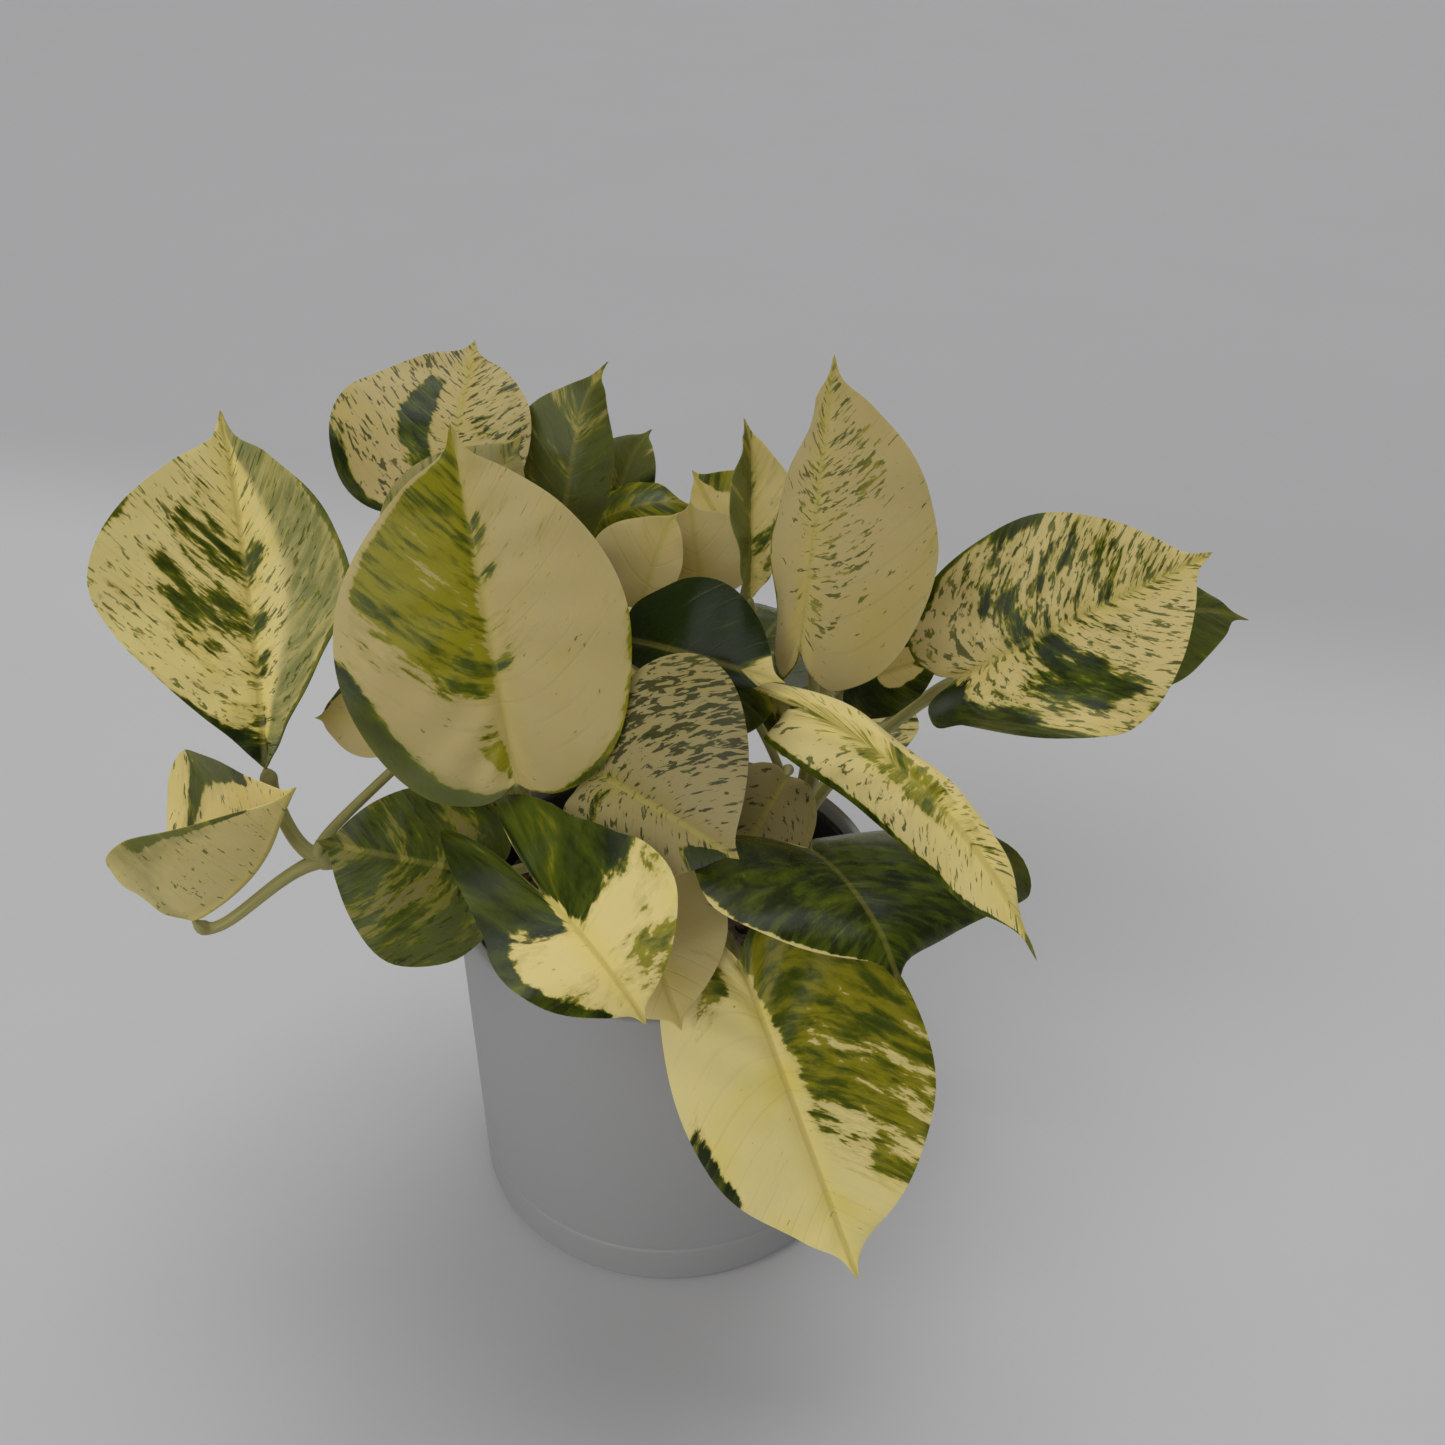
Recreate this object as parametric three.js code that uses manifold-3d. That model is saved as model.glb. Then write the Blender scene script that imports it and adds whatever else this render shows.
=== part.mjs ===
// Variegated pothos in a white cover pot. Millimetres, +Z up, pot base on z = 0,
// origin at the centre of the pot's base, front of the plant towards -Y.
import * as THREE from "three";
import { mergeVertices } from "three/addons/utils/BufferGeometryUtils.js";
import Module from "manifold-3d";

// ---- driving dimensions ----
const POT_RADIUS = 60;
const POT_HEIGHT = 106;
const POT_WALL = 3;
const POT_FLOOR = 5;
const GROOVE_HEIGHT = 15;
const GROOVE_DEPTH = 0.6;
const LINER_WALL = 1.2;
const LINER_DROP = 4;
const LINER_TAPER = 9;
const MIX_DROP = 12;
const LEAF_THICKNESS = 0.8;
const STEM_RADIUS = 2.6;
const STALK_RADIUS = 1.6;
const STEM_LIFT = 1.4;
const GAP = 0.3;
const LOBE_BEND = 10;

// Leaf joints are placed for a pot of this radius and move outwards with a wider one.
const DESIGN_RADIUS = 60;
const SPREAD = POT_RADIUS / DESIGN_RADIUS;

// Half outlines of a blade: [along the midrib, across]. A leaf's lobe picks between them:
// 0 narrows to the joint like a funnel, 1 is heart-shaped, more deepens the basal lobes.
const FUNNEL = [
  [0, 0],
  [0.04, 0.09],
  [0.09, 0.2],
  [0.16, 0.38],
  [0.27, 0.62],
  [0.4, 0.86],
  [0.54, 1],
  [0.67, 0.93],
  [0.79, 0.7],
  [0.88, 0.37],
  [0.93, 0.1],
  [1, 0],
];
const HEART = [
  [0, 0],
  [-0.05, 0.12],
  [-0.08, 0.34],
  [-0.05, 0.62],
  [0.06, 0.85],
  [0.24, 0.98],
  [0.42, 1],
  [0.58, 0.89],
  [0.73, 0.65],
  [0.85, 0.34],
  [0.92, 0.1],
  [1, 0],
];
const ACROSS = [0, 0.42, 0.76, 1];

const CREAM = 0xd9cfa6;
const GREEN = 0x4c6420;
const DARK = 0x24380f;
const GREY = 0x93a07c;

// Leaves. at: joint, [right, back, above the rim]; reach: joint to point; face: upper side;
// half: half widths left and right of the midrib; fold: lift of each half at the midrib;
// curl: further turn towards the margin; furl: further turn of the basal lobes only;
// rise: how far the basal lobes bend up behind the joint, over the length given by bend;
// bow, sway: arch of the midrib upwards and to the right; lobe: depth of the basal lobes; tip: bend of the drawn-out point.
const LEAVES = [
  { name: "leaf_01", vine: 0, at: [-97, -30, 57], reach: [-8, 42, 76], face: [0.1, -0.85, 0.45],
    half: [36, 29], fold: [8, 14], curl: [12, 20], lobe: 0, tip: [0, 3], bow: -4, tint: CREAM },
  { name: "leaf_02", vine: 0, at: [-116, -48, 24], reach: [31, -4, 45], face: [-0.8, -0.15, 0.6],
    half: [36, 36], fold: [38, 60], curl: [14, 20], lobe: 0.6, tip: [0, -3], bow: -6, tint: GREY },
  { name: "leaf_03", vine: 1, at: [-33, -44, 63], reach: [-14, 40, 73], face: [0.1, -0.85, 0.5],
    half: [36, 33], fold: [6, 8], curl: [-14, -10], lobe: 0.8, tip: [0, 4], bow: 2,
    arrive: [0.2, 0.9, 0], tint: CREAM },
  { name: "leaf_04", vine: 3, at: [-53, 10, 110], reach: [3, 46, 24], face: [0, -0.5, 0.87],
    half: [31, 19], fold: [4, 8], curl: [10, -20], lobe: 1, tip: [0, 2], bow: 4, tint: CREAM },
  { name: "leaf_05", vine: 1, at: [-58, -4, 92], reach: [25, 18, 34], face: [0, -0.75, 0.65],
    half: [20, 14], fold: [4, 8], curl: [0, 0], lobe: 1, tip: [0, 2], bow: 2, tint: GREY },
  { name: "leaf_06", vine: 3, at: [-27, 16, 88], reach: [10, 23, 48], face: [-0.4, -0.8, 0.4],
    half: [19, 11], fold: [5, -30], curl: [10, -10], lobe: 0.5, tip: [6, 4], bow: 3, tint: DARK },
  { name: "leaf_07", vine: 3, at: [-18, 57, 79], reach: [12, 10, 28], face: [-0.3, -0.8, 0.5],
    half: [12, 12], fold: [15, 15], curl: [0, 0], lobe: 0.5, tip: [2, 0], bow: 2, tint: GREY },
  { name: "leaf_08", vine: 3, at: [-22, 42, 87], reach: [30, 4, 6], face: [0, -0.5, 0.87],
    half: [13, 10], fold: [-10, -10], curl: [-25, -10], lobe: 0.5, tip: [0, -2], bow: 5, tint: GREEN },
  { name: "leaf_09", vine: 4, at: [-5, 0, 86], reach: [8, 16, 19], face: [0, -0.75, 0.65],
    half: [16, 7], fold: [5, 5], curl: [0, -15], lobe: 0.7, tip: [2, 1], bow: 2, tint: CREAM },
  { name: "leaf_10", vine: 4, at: [10, 18, 80], reach: [-3, 10, 22], face: [0.1, -0.8, 0.6],
    half: [14, 17], fold: [5, 5], curl: [0, 0], lobe: 0.7, tip: [0, 1], bow: 2, tint: CREAM },
  { name: "leaf_11", vine: 4, at: [22, 38, 74], reach: [-15, 14, 26], face: [0.3, -0.8, 0.5],
    half: [8, 24], fold: [5, 10], curl: [0, 10], lobe: 0.7, tip: [0, 1], bow: 2, tint: GREEN },
  { name: "leaf_12", vine: 4, at: [23, 8, 84], reach: [0, 18, 42], face: [0, -0.8, 0.5],
    half: [8, 14], fold: [45, 40], curl: [10, 0], lobe: 0.2, tip: [-2, 3], bow: -3, tint: GREY },
  { name: "leaf_13", vine: 4, at: [-9, -12, 84], reach: [40, -22, 0], face: [0, -0.75, 0.65],
    half: [19, 8], fold: [8, 8], curl: [-10, -10], lobe: 0.6, tip: [0, 2], bow: 4, tint: DARK },
  { name: "leaf_14", vine: 5, at: [34, -24, 88], reach: [7, 30, 61], face: [0.1, -0.85, 0.5],
    half: [16, 30], fold: [-55, 6], curl: [-20, -14], lobe: 1.8, tip: [0, 4], bow: 3,
    arrive: [0, 0.9, -0.35], tint: CREAM },
  { name: "leaf_15", vine: 5, at: [19, -22, 80], reach: [-2, -4, -19], face: [0, -0.8, 0.6],
    half: [10, 17], fold: [-5, -5], curl: [-20, -20], lobe: 3, tip: [0, 1], bow: 2,
    arrive: [-0.4, 0.6, 0], tint: GREEN },
  { name: "leaf_16", vine: 5, at: [75, -10, 71], reach: [60, 6, 32], face: [-0.1, -0.75, 0.65],
    half: [29, 32], fold: [4, 6], curl: [-10, 12], furl: [0, 90], lobe: 1.4, tip: [0, 2], bow: 4,
    tint: CREAM },
  { name: "leaf_17", vine: 5, at: [104, 20, 66], reach: [54, 8, 5], face: [-0.1, -0.7, 0.7],
    half: [12, 20], fold: [4, 4], curl: [0, -10], lobe: 0.6, tip: [5, 2], bow: 3, tint: DARK },
  { name: "leaf_18", vine: 5, at: [50, 23, 47], reach: [27, -8, 16], face: [0, -0.7, 0.7],
    half: [13, 12], fold: [4, 4], curl: [0, -10], lobe: 0.8, tip: [0, 2], bow: 3, tint: DARK },
  { name: "leaf_19", vine: 5, at: [35, -38, 80], reach: [50, -47, -35], face: [-0.3, -0.8, 0.5],
    half: [7, 15], fold: [-25, -4], curl: [-30, -30], furl: [0, 20], lobe: 2.8, tip: [0, 2], bow: 4,
    rise: [0, -170], bend: 14, sway: -8, arrive: [-0.1, 0.9, -0.2], tint: CREAM },
  { name: "leaf_20", vine: 2, at: [37, -44, 43], reach: [18, -40, -2], face: [0, -0.05, 1],
    half: [58, 36], fold: [-10, 16], curl: [-26, -10], furl: [26, 20], lobe: 5, tip: [0, -4], bow: 5,
    arrive: [0.2, 0.9, 0], tint: DARK },
  { name: "leaf_21", vine: 2, at: [-14, -40, 63], reach: [34, -26, -6], face: [0.1, -0.72, 0.68],
    half: [36, 18], fold: [26, 4], curl: [-12, -12], lobe: 1, tip: [0, 2], bow: 3, tint: CREAM },
  { name: "leaf_23", vine: 2, at: [20, -61, 22], reach: [29, -34, -74], face: [0.1, -0.85, 0.5],
    half: [37, 27], fold: [4, 4], curl: [-10, -16], lobe: 1.4, tip: [0, 3], bow: 4,
    arrive: [0.1, 0.9, 0], tint: CREAM },
  { name: "leaf_24", vine: 1, at: [-42, -40, 32], reach: [-41, -4, 14], face: [-0.1, -0.8, 0.6],
    half: [26, 19], fold: [4, 4], curl: [-14, -10], lobe: 1, tip: [0, 2], bow: 4, tint: GREY },
  { name: "leaf_25", vine: 1, at: [-25, -67, 48], reach: [24, -26, -14], face: [0.1, -0.5, 0.86],
    half: [25, 21], fold: [20, 16], curl: [4, -6], furl: [12, 12], lobe: 12, tip: [0, -2], bow: 4,
    rise: [38, 28], arrive: [0.1, 0.9, 0], tint: GREEN },
  { name: "leaf_26", vine: 1, at: [-39, -26, 40], reach: [-15, -4, 10], face: [0, -0.75, 0.65],
    half: [8, 9], fold: [4, 4], curl: [0, 0], lobe: 1, tip: [0, 1], bow: 1, tint: GREY },
  { name: "leaf_27", vine: 2, at: [-8, -47, 38], reach: [14, -28, -25], face: [0, -0.7, 0.7],
    half: [20, 24], fold: [4, 4], curl: [-10, -10], lobe: 1, tip: [0, 1], bow: 3, tint: CREAM },
  { name: "leaf_28", vine: 2, at: [32, -18, 46], reach: [-16, -16, -22], face: [0.1, -0.8, 0.6],
    half: [14, 13], fold: [4, 4], curl: [-8, -8], lobe: 0.8, tip: [0, 1], bow: 2, tint: CREAM },
  { name: "leaf_29", vine: 0, at: [-60, -14, 64], reach: [-28, 2, -4], face: [0, -0.7, 0.7],
    half: [12, 11], fold: [4, 4], curl: [0, 0], lobe: 0.8, tip: [0, 1], bow: 3, tint: CREAM },
  { name: "leaf_31", vine: 3, at: [-24, 46, 40], reach: [-22, 58, 2], face: [-0.1, 0.2, 0.97],
    half: [28, 28], fold: [6, 6], curl: [-12, -12], lobe: 1.4, tip: [0, -2], bow: 6, tint: CREAM },
  { name: "leaf_32", vine: 4, at: [22, 48, 36], reach: [20, 56, -10], face: [0.1, 0.3, 0.95],
    half: [26, 26], fold: [6, 6], curl: [-12, -12], lobe: 1.4, tip: [0, -2], bow: 6, tint: GREEN },
  { name: "leaf_33", vine: 3, at: [-52, 26, 30], reach: [-44, 34, -14], face: [-0.3, 0.2, 0.93],
    half: [25, 25], fold: [6, 6], curl: [-12, -12], lobe: 1.4, tip: [0, -2], bow: 6, tint: CREAM },
  { name: "leaf_34", vine: 5, at: [44, 36, 20], reach: [18, 48, -10], face: [0.3, 0.2, 0.93],
    half: [25, 25], fold: [6, 6], curl: [-12, -12], lobe: 1.4, tip: [0, -2], bow: 6, tint: CREAM },
];

// Stems, as points [right, back, above the potting mix]; leaf stalks start at the share given.
const VINES = [
  { name: "vine_trailing", path: [[-40, -6, 0], [-50, -14, 24], [-68, -26, 38], [-84, -37, 45]] },
  { name: "vine_left", path: [[-24, -14, 0], [-27, -15, 14], [-29, -18, 30]] },
  { name: "vine_front", path: [[4, -26, 0], [5, -29, 12], [8, -33, 24]] },
  { name: "vine_back", path: [[-14, 26, 0], [-15, 27, 18], [-18, 28, 38]] },
  { name: "vine_centre", path: [[6, 12, 0], [7, 12, 18], [8, 13, 38]] },
  { name: "vine_right", path: [[30, -4, 0], [33, -4, 16], [37, -5, 34]] },
];

const MIX_TOP = POT_HEIGHT - MIX_DROP;

function vec(list) {
  return new THREE.Vector3(list[0], list[1], list[2]);
}

function radians(degrees) {
  return (degrees * Math.PI) / 180;
}

// The joint of a leaf in the object's own frame.
function jointOf(leaf) {
  return new THREE.Vector3(leaf.at[0] * SPREAD, leaf.at[1] * SPREAD, POT_HEIGHT + leaf.at[2]);
}

// Unit directions of a leaf: along the midrib, up from the upper side, and to its right.
function axesOf(leaf) {
  const along = vec(leaf.reach).normalize();
  const up = vec(leaf.face);
  up.addScaledVector(along, -up.dot(along)).normalize();
  const right = new THREE.Vector3().crossVectors(along, up);
  return { along, up, right };
}

// Basal lobes that bend up behind the joint: [along, up, tilt] at a distance behind it.
function lobeBend(leaf, side, behind) {
  const angle = radians(leaf.rise ? leaf.rise[side] : 0);
  if (behind <= 0 || angle === 0) {
    return [-behind, 0, 0];
  }
  const reach = leaf.bend || LOBE_BEND;
  const rate = angle / reach;
  const bent = Math.min(behind, reach);
  const straight = behind - bent;
  const tilt = rate * bent;
  const back = Math.sin(tilt) / rate + straight * Math.cos(tilt);
  const raised = (1 - Math.cos(tilt)) / rate + straight * Math.sin(tilt);
  return [-back, raised, tilt];
}

// Point and surface normal of a blade at a row of the outline and a share across (-1 to 1).
function bladePoint(leaf, x, root, across, width) {
  const joint = jointOf(leaf);
  const { along, up, right } = axesOf(leaf);
  const length = vec(leaf.reach).length();
  const side = across < 0 ? 0 : 1;
  const share = Math.abs(across);
  const here = root + (x - root) * share;
  const [onward, raised, bentBy] = lobeBend(leaf, side, -here * length);
  const arch = leaf.bow * 4 * here * (1 - here);
  const slope = (leaf.bow * 4 * (1 - 2 * here)) / length;
  const point = joint.clone();
  point.addScaledVector(along, onward);
  point.addScaledVector(up, arch + raised);
  point.addScaledVector(right, (leaf.sway || 0) * 4 * here * (1 - here));
  const tipShare = Math.max(0, (here - 0.72) / 0.28) ** 2;
  point.addScaledVector(right, leaf.tip[0] * tipShare);
  point.addScaledVector(up, leaf.tip[1] * tipShare);
  const level = up.clone().addScaledVector(along, -slope).normalize();
  const lift = level.multiplyScalar(Math.cos(bentBy)).addScaledVector(along, Math.sin(bentBy)).normalize();
  const base = Math.max(0, 1 - Math.max(0, here) / 0.45);
  const furl = leaf.furl ? leaf.furl[side] * base : 0;
  const turn = leaf.curl[side] + furl;
  // walk outwards from the midrib, turning as we go
  const steps = 6;
  let out = 0;
  let high = 0;
  let angle = leaf.fold[side];
  for (let i = 0; i < steps; i += 1) {
    const at = ((i + 0.5) / steps) * share;
    angle = leaf.fold[side] + turn * at;
    out += (Math.cos(radians(angle)) * width * share) / steps;
    high += (Math.sin(radians(angle)) * width * share) / steps;
  }
  const sign = across < 0 ? -1 : 1;
  point.addScaledVector(right, sign * out);
  point.addScaledVector(lift, high);
  const flat = share === 0 || width === 0;
  const tilt = radians(flat ? 0 : leaf.fold[side] + turn * share);
  const normal = lift.clone().multiplyScalar(Math.cos(tilt));
  normal.addScaledVector(right, -sign * Math.sin(tilt)).normalize();
  return { point, normal };
}

// One row of a leaf's half outline, between the funnel and the heart shape.
function outlineOf(leaf, row) {
  const heart = Math.min(1, leaf.lobe);
  const deep = HEART[row][0] < 0 ? HEART[row][0] * Math.max(1, leaf.lobe) : HEART[row][0];
  const x = FUNNEL[row][0] * (1 - heart) + deep * heart;
  const y = FUNNEL[row][1] * (1 - heart) + HEART[row][1] * heart;
  return [x, y];
}

// A thin closed blade: an upper and a lower sheet joined along the margin.
function bladeGeometry(leaf) {
  const rows = HEART.length;
  const columns = 2 * ACROSS.length - 1;
  const positions = [];
  const faces = [];
  for (const face of [0.5, -0.5]) {
    for (let i = 0; i < rows; i += 1) {
      const rib = i / (rows - 1);
      const [x, y] = outlineOf(leaf, i);
      for (let j = 0; j < columns; j += 1) {
        const k = j - (ACROSS.length - 1);
        const across = Math.sign(k) * ACROSS[Math.abs(k)];
        const side = k < 0 ? 0 : 1;
        const spot = bladePoint(leaf, x, rib ** 1.15, across, leaf.half[side] * y);
        spot.point.addScaledVector(spot.normal, face * LEAF_THICKNESS);
        positions.push(spot.point.x, spot.point.y, spot.point.z);
      }
    }
  }
  const sheet = rows * columns;
  for (let i = 0; i + 1 < rows; i += 1) {
    for (let j = 0; j + 1 < columns; j += 1) {
      const a = i * columns + j;
      const b = a + 1;
      const c = a + columns;
      const d = c + 1;
      faces.push(a, b, d, a, d, c);
      faces.push(sheet + a, sheet + d, sheet + b, sheet + a, sheet + c, sheet + d);
    }
    const left = i * columns;
    const leftNext = left + columns;
    faces.push(left, leftNext, sheet + left, leftNext, sheet + leftNext, sheet + left);
    const right = left + columns - 1;
    const rightNext = right + columns;
    faces.push(right, sheet + right, rightNext, rightNext, sheet + right, sheet + rightNext);
  }
  const geometry = new THREE.BufferGeometry();
  geometry.setAttribute("position", new THREE.Float32BufferAttribute(positions, 3));
  geometry.setIndex(faces);
  return solid(geometry);
}

// Merge equal points and drop the collapsed triangles at the joint and the point of a blade.
function solid(geometry) {
  geometry.deleteAttribute("normal");
  geometry.deleteAttribute("uv");
  const merged = mergeVertices(geometry, 1e-3);
  const index = merged.getIndex().array;
  const kept = [];
  for (let i = 0; i < index.length; i += 3) {
    const [a, b, c] = [index[i], index[i + 1], index[i + 2]];
    if (a !== b && b !== c && c !== a) {
      kept.push(a, b, c);
    }
  }
  merged.setIndex(kept);
  return merged;
}

const wasm = await Module();
wasm.setup();

function toManifold(geometry) {
  const clean = solid(geometry.clone());
  const mesh = new wasm.Mesh({
    numProp: 3,
    vertProperties: new Float32Array(clean.getAttribute("position").array),
    triVerts: new Uint32Array(clean.getIndex().array),
  });
  return new wasm.Manifold(mesh);
}

function fromManifold(body) {
  const mesh = body.getMesh();
  const geometry = new THREE.BufferGeometry();
  geometry.setAttribute("position", new THREE.BufferAttribute(mesh.vertProperties, 3));
  geometry.setIndex(Array.from(mesh.triVerts));
  return geometry;
}

// A round rod along a smooth curve.
function rod(curve, radius, steps, sides) {
  const ring = new THREE.Shape();
  for (let i = 0; i < sides; i += 1) {
    const turn = (2 * Math.PI * i) / sides;
    if (i === 0) {
      ring.moveTo(radius * Math.cos(turn), radius * Math.sin(turn));
    } else {
      ring.lineTo(radius * Math.cos(turn), radius * Math.sin(turn));
    }
  }
  ring.closePath();
  const options = { steps, bevelEnabled: false, extrudePath: curve };
  return new THREE.ExtrudeGeometry(ring, options);
}

function vineCurve(vine) {
  const points = vine.path.map((p) => {
    return new THREE.Vector3(p[0] * SPREAD, p[1] * SPREAD, MIX_TOP + STEM_LIFT + p[2]);
  });
  return new THREE.CatmullRomCurve3(points);
}

// A leaf stalk leaves the stem upwards and meets the blade from below its joint.
function stalkCurve(stem, share, leaf) {
  const start = stem.getPoint(share);
  const { along, up, right } = axesOf(leaf);
  const [onward, upward, sideways] = leaf.arrive || [0.5, 0.6, 0];
  const arrive = along.clone().multiplyScalar(onward).addScaledVector(up, upward);
  arrive.addScaledVector(right, sideways).normalize();
  const end = jointOf(leaf).addScaledVector(arrive, -(GAP + STALK_RADIUS + LEAF_THICKNESS / 2));
  const reach = start.distanceTo(end);
  const leave = stem.getTangent(share).clone();
  const first = start.clone().addScaledVector(leave, reach * 0.4);
  const second = end.clone().addScaledVector(arrive, -reach * 0.35);
  return new THREE.CubicBezierCurve3(start, first, second, end);
}

function vineGeometry(vine, number) {
  const stem = vineCurve(vine);
  let body = toManifold(rod(stem, STEM_RADIUS, 6, 8));
  const carried = LEAVES.filter((leaf) => leaf.vine === number);
  carried.forEach((leaf, i) => {
    const low = number === 0 ? 0.97 : 0.45;
    const share = carried.length > 1 ? low + ((0.98 - low) * i) / (carried.length - 1) : 0.98;
    const stalk = rod(stalkCurve(stem, share, leaf), STALK_RADIUS, 7, 6);
    body = body.add(toManifold(stalk));
  });
  return fromManifold(body);
}

function lathe(profile, segments) {
  const points = profile.map((p) => new THREE.Vector2(p[0], p[1]));
  const geometry = new THREE.LatheGeometry(points, segments);
  geometry.rotateX(Math.PI / 2);
  return solid(geometry);
}

const root = new THREE.Group();

function addMesh(name, geometry, colour, roughness) {
  const material = new THREE.MeshStandardMaterial({ color: colour, roughness });
  material.name = name;
  const mesh = new THREE.Mesh(geometry, material);
  mesh.name = name;
  root.add(mesh);
}

// ---- cover pot ----
const inner = POT_RADIUS - POT_WALL;
addMesh(
  "cover_pot",
  lathe(
    [
      [0, 0],
      [POT_RADIUS - 2, 0],
      [POT_RADIUS - 0.5, 0.5],
      [POT_RADIUS, 2],
      [POT_RADIUS, GROOVE_HEIGHT - 0.6],
      [POT_RADIUS - GROOVE_DEPTH, GROOVE_HEIGHT],
      [POT_RADIUS, GROOVE_HEIGHT + 0.6],
      [POT_RADIUS, POT_HEIGHT - 1.4],
      [POT_RADIUS - 0.5, POT_HEIGHT - 0.3],
      [POT_RADIUS - POT_WALL / 2, POT_HEIGHT],
      [inner + 0.5, POT_HEIGHT - 0.3],
      [inner, POT_HEIGHT - 1.4],
      [inner, POT_FLOOR + 2],
      [inner - 2, POT_FLOOR],
      [0, POT_FLOOR],
    ],
    48,
  ),
  0xcfd0d2,
  0.7,
);

// ---- black liner pot standing in the cover pot ----
const linerTop = inner - GAP;
const linerFoot = inner - GAP - LINER_TAPER;
const linerBase = POT_FLOOR + GAP;
const linerRim = POT_HEIGHT - LINER_DROP;
addMesh(
  "nursery_pot",
  lathe(
    [
      [0, linerBase],
      [linerFoot, linerBase],
      [linerTop - 2, linerRim - 6],
      [linerTop, linerRim - 6],
      [linerTop, linerRim],
      [linerTop - LINER_WALL, linerRim],
      [linerTop - 2 - LINER_WALL, linerRim - 5],
      [linerFoot - LINER_WALL, linerBase + LINER_WALL],
      [0, linerBase + LINER_WALL],
    ],
    40,
  ),
  0x1b1b1b,
  0.5,
);

// ---- potting mix ----
const linerSlope = (linerTop - 2 - linerFoot) / (linerRim - 6 - linerBase);
const mixTopRadius = linerFoot - LINER_WALL - GAP + linerSlope * (MIX_TOP - 1.2 - linerBase);
addMesh(
  "potting_mix",
  lathe(
    [
      [0, linerBase + LINER_WALL + GAP],
      [linerFoot - LINER_WALL - GAP - 1, linerBase + LINER_WALL + GAP],
      [mixTopRadius - 0.6, MIX_TOP - 1.2],
      [mixTopRadius - 4, MIX_TOP],
      [0, MIX_TOP],
    ],
    32,
  ),
  0x33261c,
  0.95,
);

VINES.forEach((vine, number) => {
  addMesh(vine.name, vineGeometry(vine, number), 0x9a9c62, 0.55);
});

for (const leaf of LEAVES) {
  addMesh(leaf.name, bladeGeometry(leaf), leaf.tint, 0.5);
}

export default root;
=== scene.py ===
"""Variegated pothos in a white cover pot: pot, liner, potting mix, vines and blades.

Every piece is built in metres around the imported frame. Sizes in the tables are
millimetres, measured from the middle of the pot's base and above the pot's rim.
"""

import math

import bmesh
import bpy
import numpy as np
from mathutils import Matrix, Vector


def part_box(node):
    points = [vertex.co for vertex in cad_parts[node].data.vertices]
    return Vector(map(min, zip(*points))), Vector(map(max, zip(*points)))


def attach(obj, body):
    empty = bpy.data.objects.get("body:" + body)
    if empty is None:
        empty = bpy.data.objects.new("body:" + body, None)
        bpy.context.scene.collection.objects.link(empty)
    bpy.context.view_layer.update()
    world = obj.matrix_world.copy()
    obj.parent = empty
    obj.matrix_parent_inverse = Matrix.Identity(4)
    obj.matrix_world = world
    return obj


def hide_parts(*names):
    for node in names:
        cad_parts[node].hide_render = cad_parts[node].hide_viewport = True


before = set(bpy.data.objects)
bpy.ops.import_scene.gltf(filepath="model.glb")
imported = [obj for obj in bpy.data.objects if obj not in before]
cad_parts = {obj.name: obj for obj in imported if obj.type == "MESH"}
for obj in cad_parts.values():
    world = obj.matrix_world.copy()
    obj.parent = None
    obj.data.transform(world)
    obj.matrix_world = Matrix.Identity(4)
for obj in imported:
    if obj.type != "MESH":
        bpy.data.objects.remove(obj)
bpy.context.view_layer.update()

bl_info = {
    "name": "Variegated pothos",
    "version": (1, 0, 0),
    "blender": (4, 5, 0),
    "location": "View3D > Sidebar > Pothos",
    "description": "Builds a potted variegated pothos, piece by piece",
    "category": "Add Mesh",
}

MM = 0.001
BODY = "root"
VEIN_LEAN = 0.75
BLADE_SHIFT = 3.7  # moves each blade to its own stretch of noise
POT_WALL = 3 * MM
POT_FLOOR = 5 * MM
GROOVE_HEIGHT = 15 * MM
LINER_WALL = 1.2 * MM
LINER_TAPER = 9 * MM
STEM_LIFT = 1.4
CAMERA_PLACE = (15.7 * MM, -320 * MM, 370.3 * MM)
CAMERA_PITCH = 33.7
LIGHT_FROM_SKY = 0.12
WALL_GLOW = 0.34
FLOOR_REACH = 4.0
FLOOR_DROP = 0.2 * MM

# ---------------------------------------------------------------- places from the frame

POT_LOW, POT_HIGH = (Vector(corner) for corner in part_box("cover_pot"))
LINER_LOW, LINER_HIGH = (Vector(corner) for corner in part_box("nursery_pot"))
MIX_LOW, MIX_HIGH = (Vector(corner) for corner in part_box("potting_mix"))
POT_RADIUS = (POT_HIGH.x - POT_LOW.x) / 2
RIM_HEIGHT = POT_HIGH.z
LINER_RADIUS = (LINER_HIGH.x - LINER_LOW.x) / 2
MIX_TOP = MIX_HIGH.z
DESIGN_RADIUS = 60 * MM
SPREAD = POT_RADIUS / DESIGN_RADIUS

# ---------------------------------------------------------------- tables of the plant

# Half outlines of a blade as [along the midrib, across], from the joint to the point.
FUNNEL = np.array([
    (0, 0), (0.04, 0.09), (0.09, 0.2), (0.16, 0.38), (0.27, 0.62), (0.4, 0.86),
    (0.54, 1), (0.67, 0.93), (0.79, 0.7), (0.88, 0.37), (0.93, 0.1), (1, 0),
])
HEART = np.array([
    (0, 0), (-0.05, 0.12), (-0.08, 0.34), (-0.05, 0.62), (0.06, 0.85), (0.24, 0.98),
    (0.42, 1), (0.58, 0.89), (0.73, 0.65), (0.85, 0.34), (0.92, 0.1), (1, 0),
])

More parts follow.
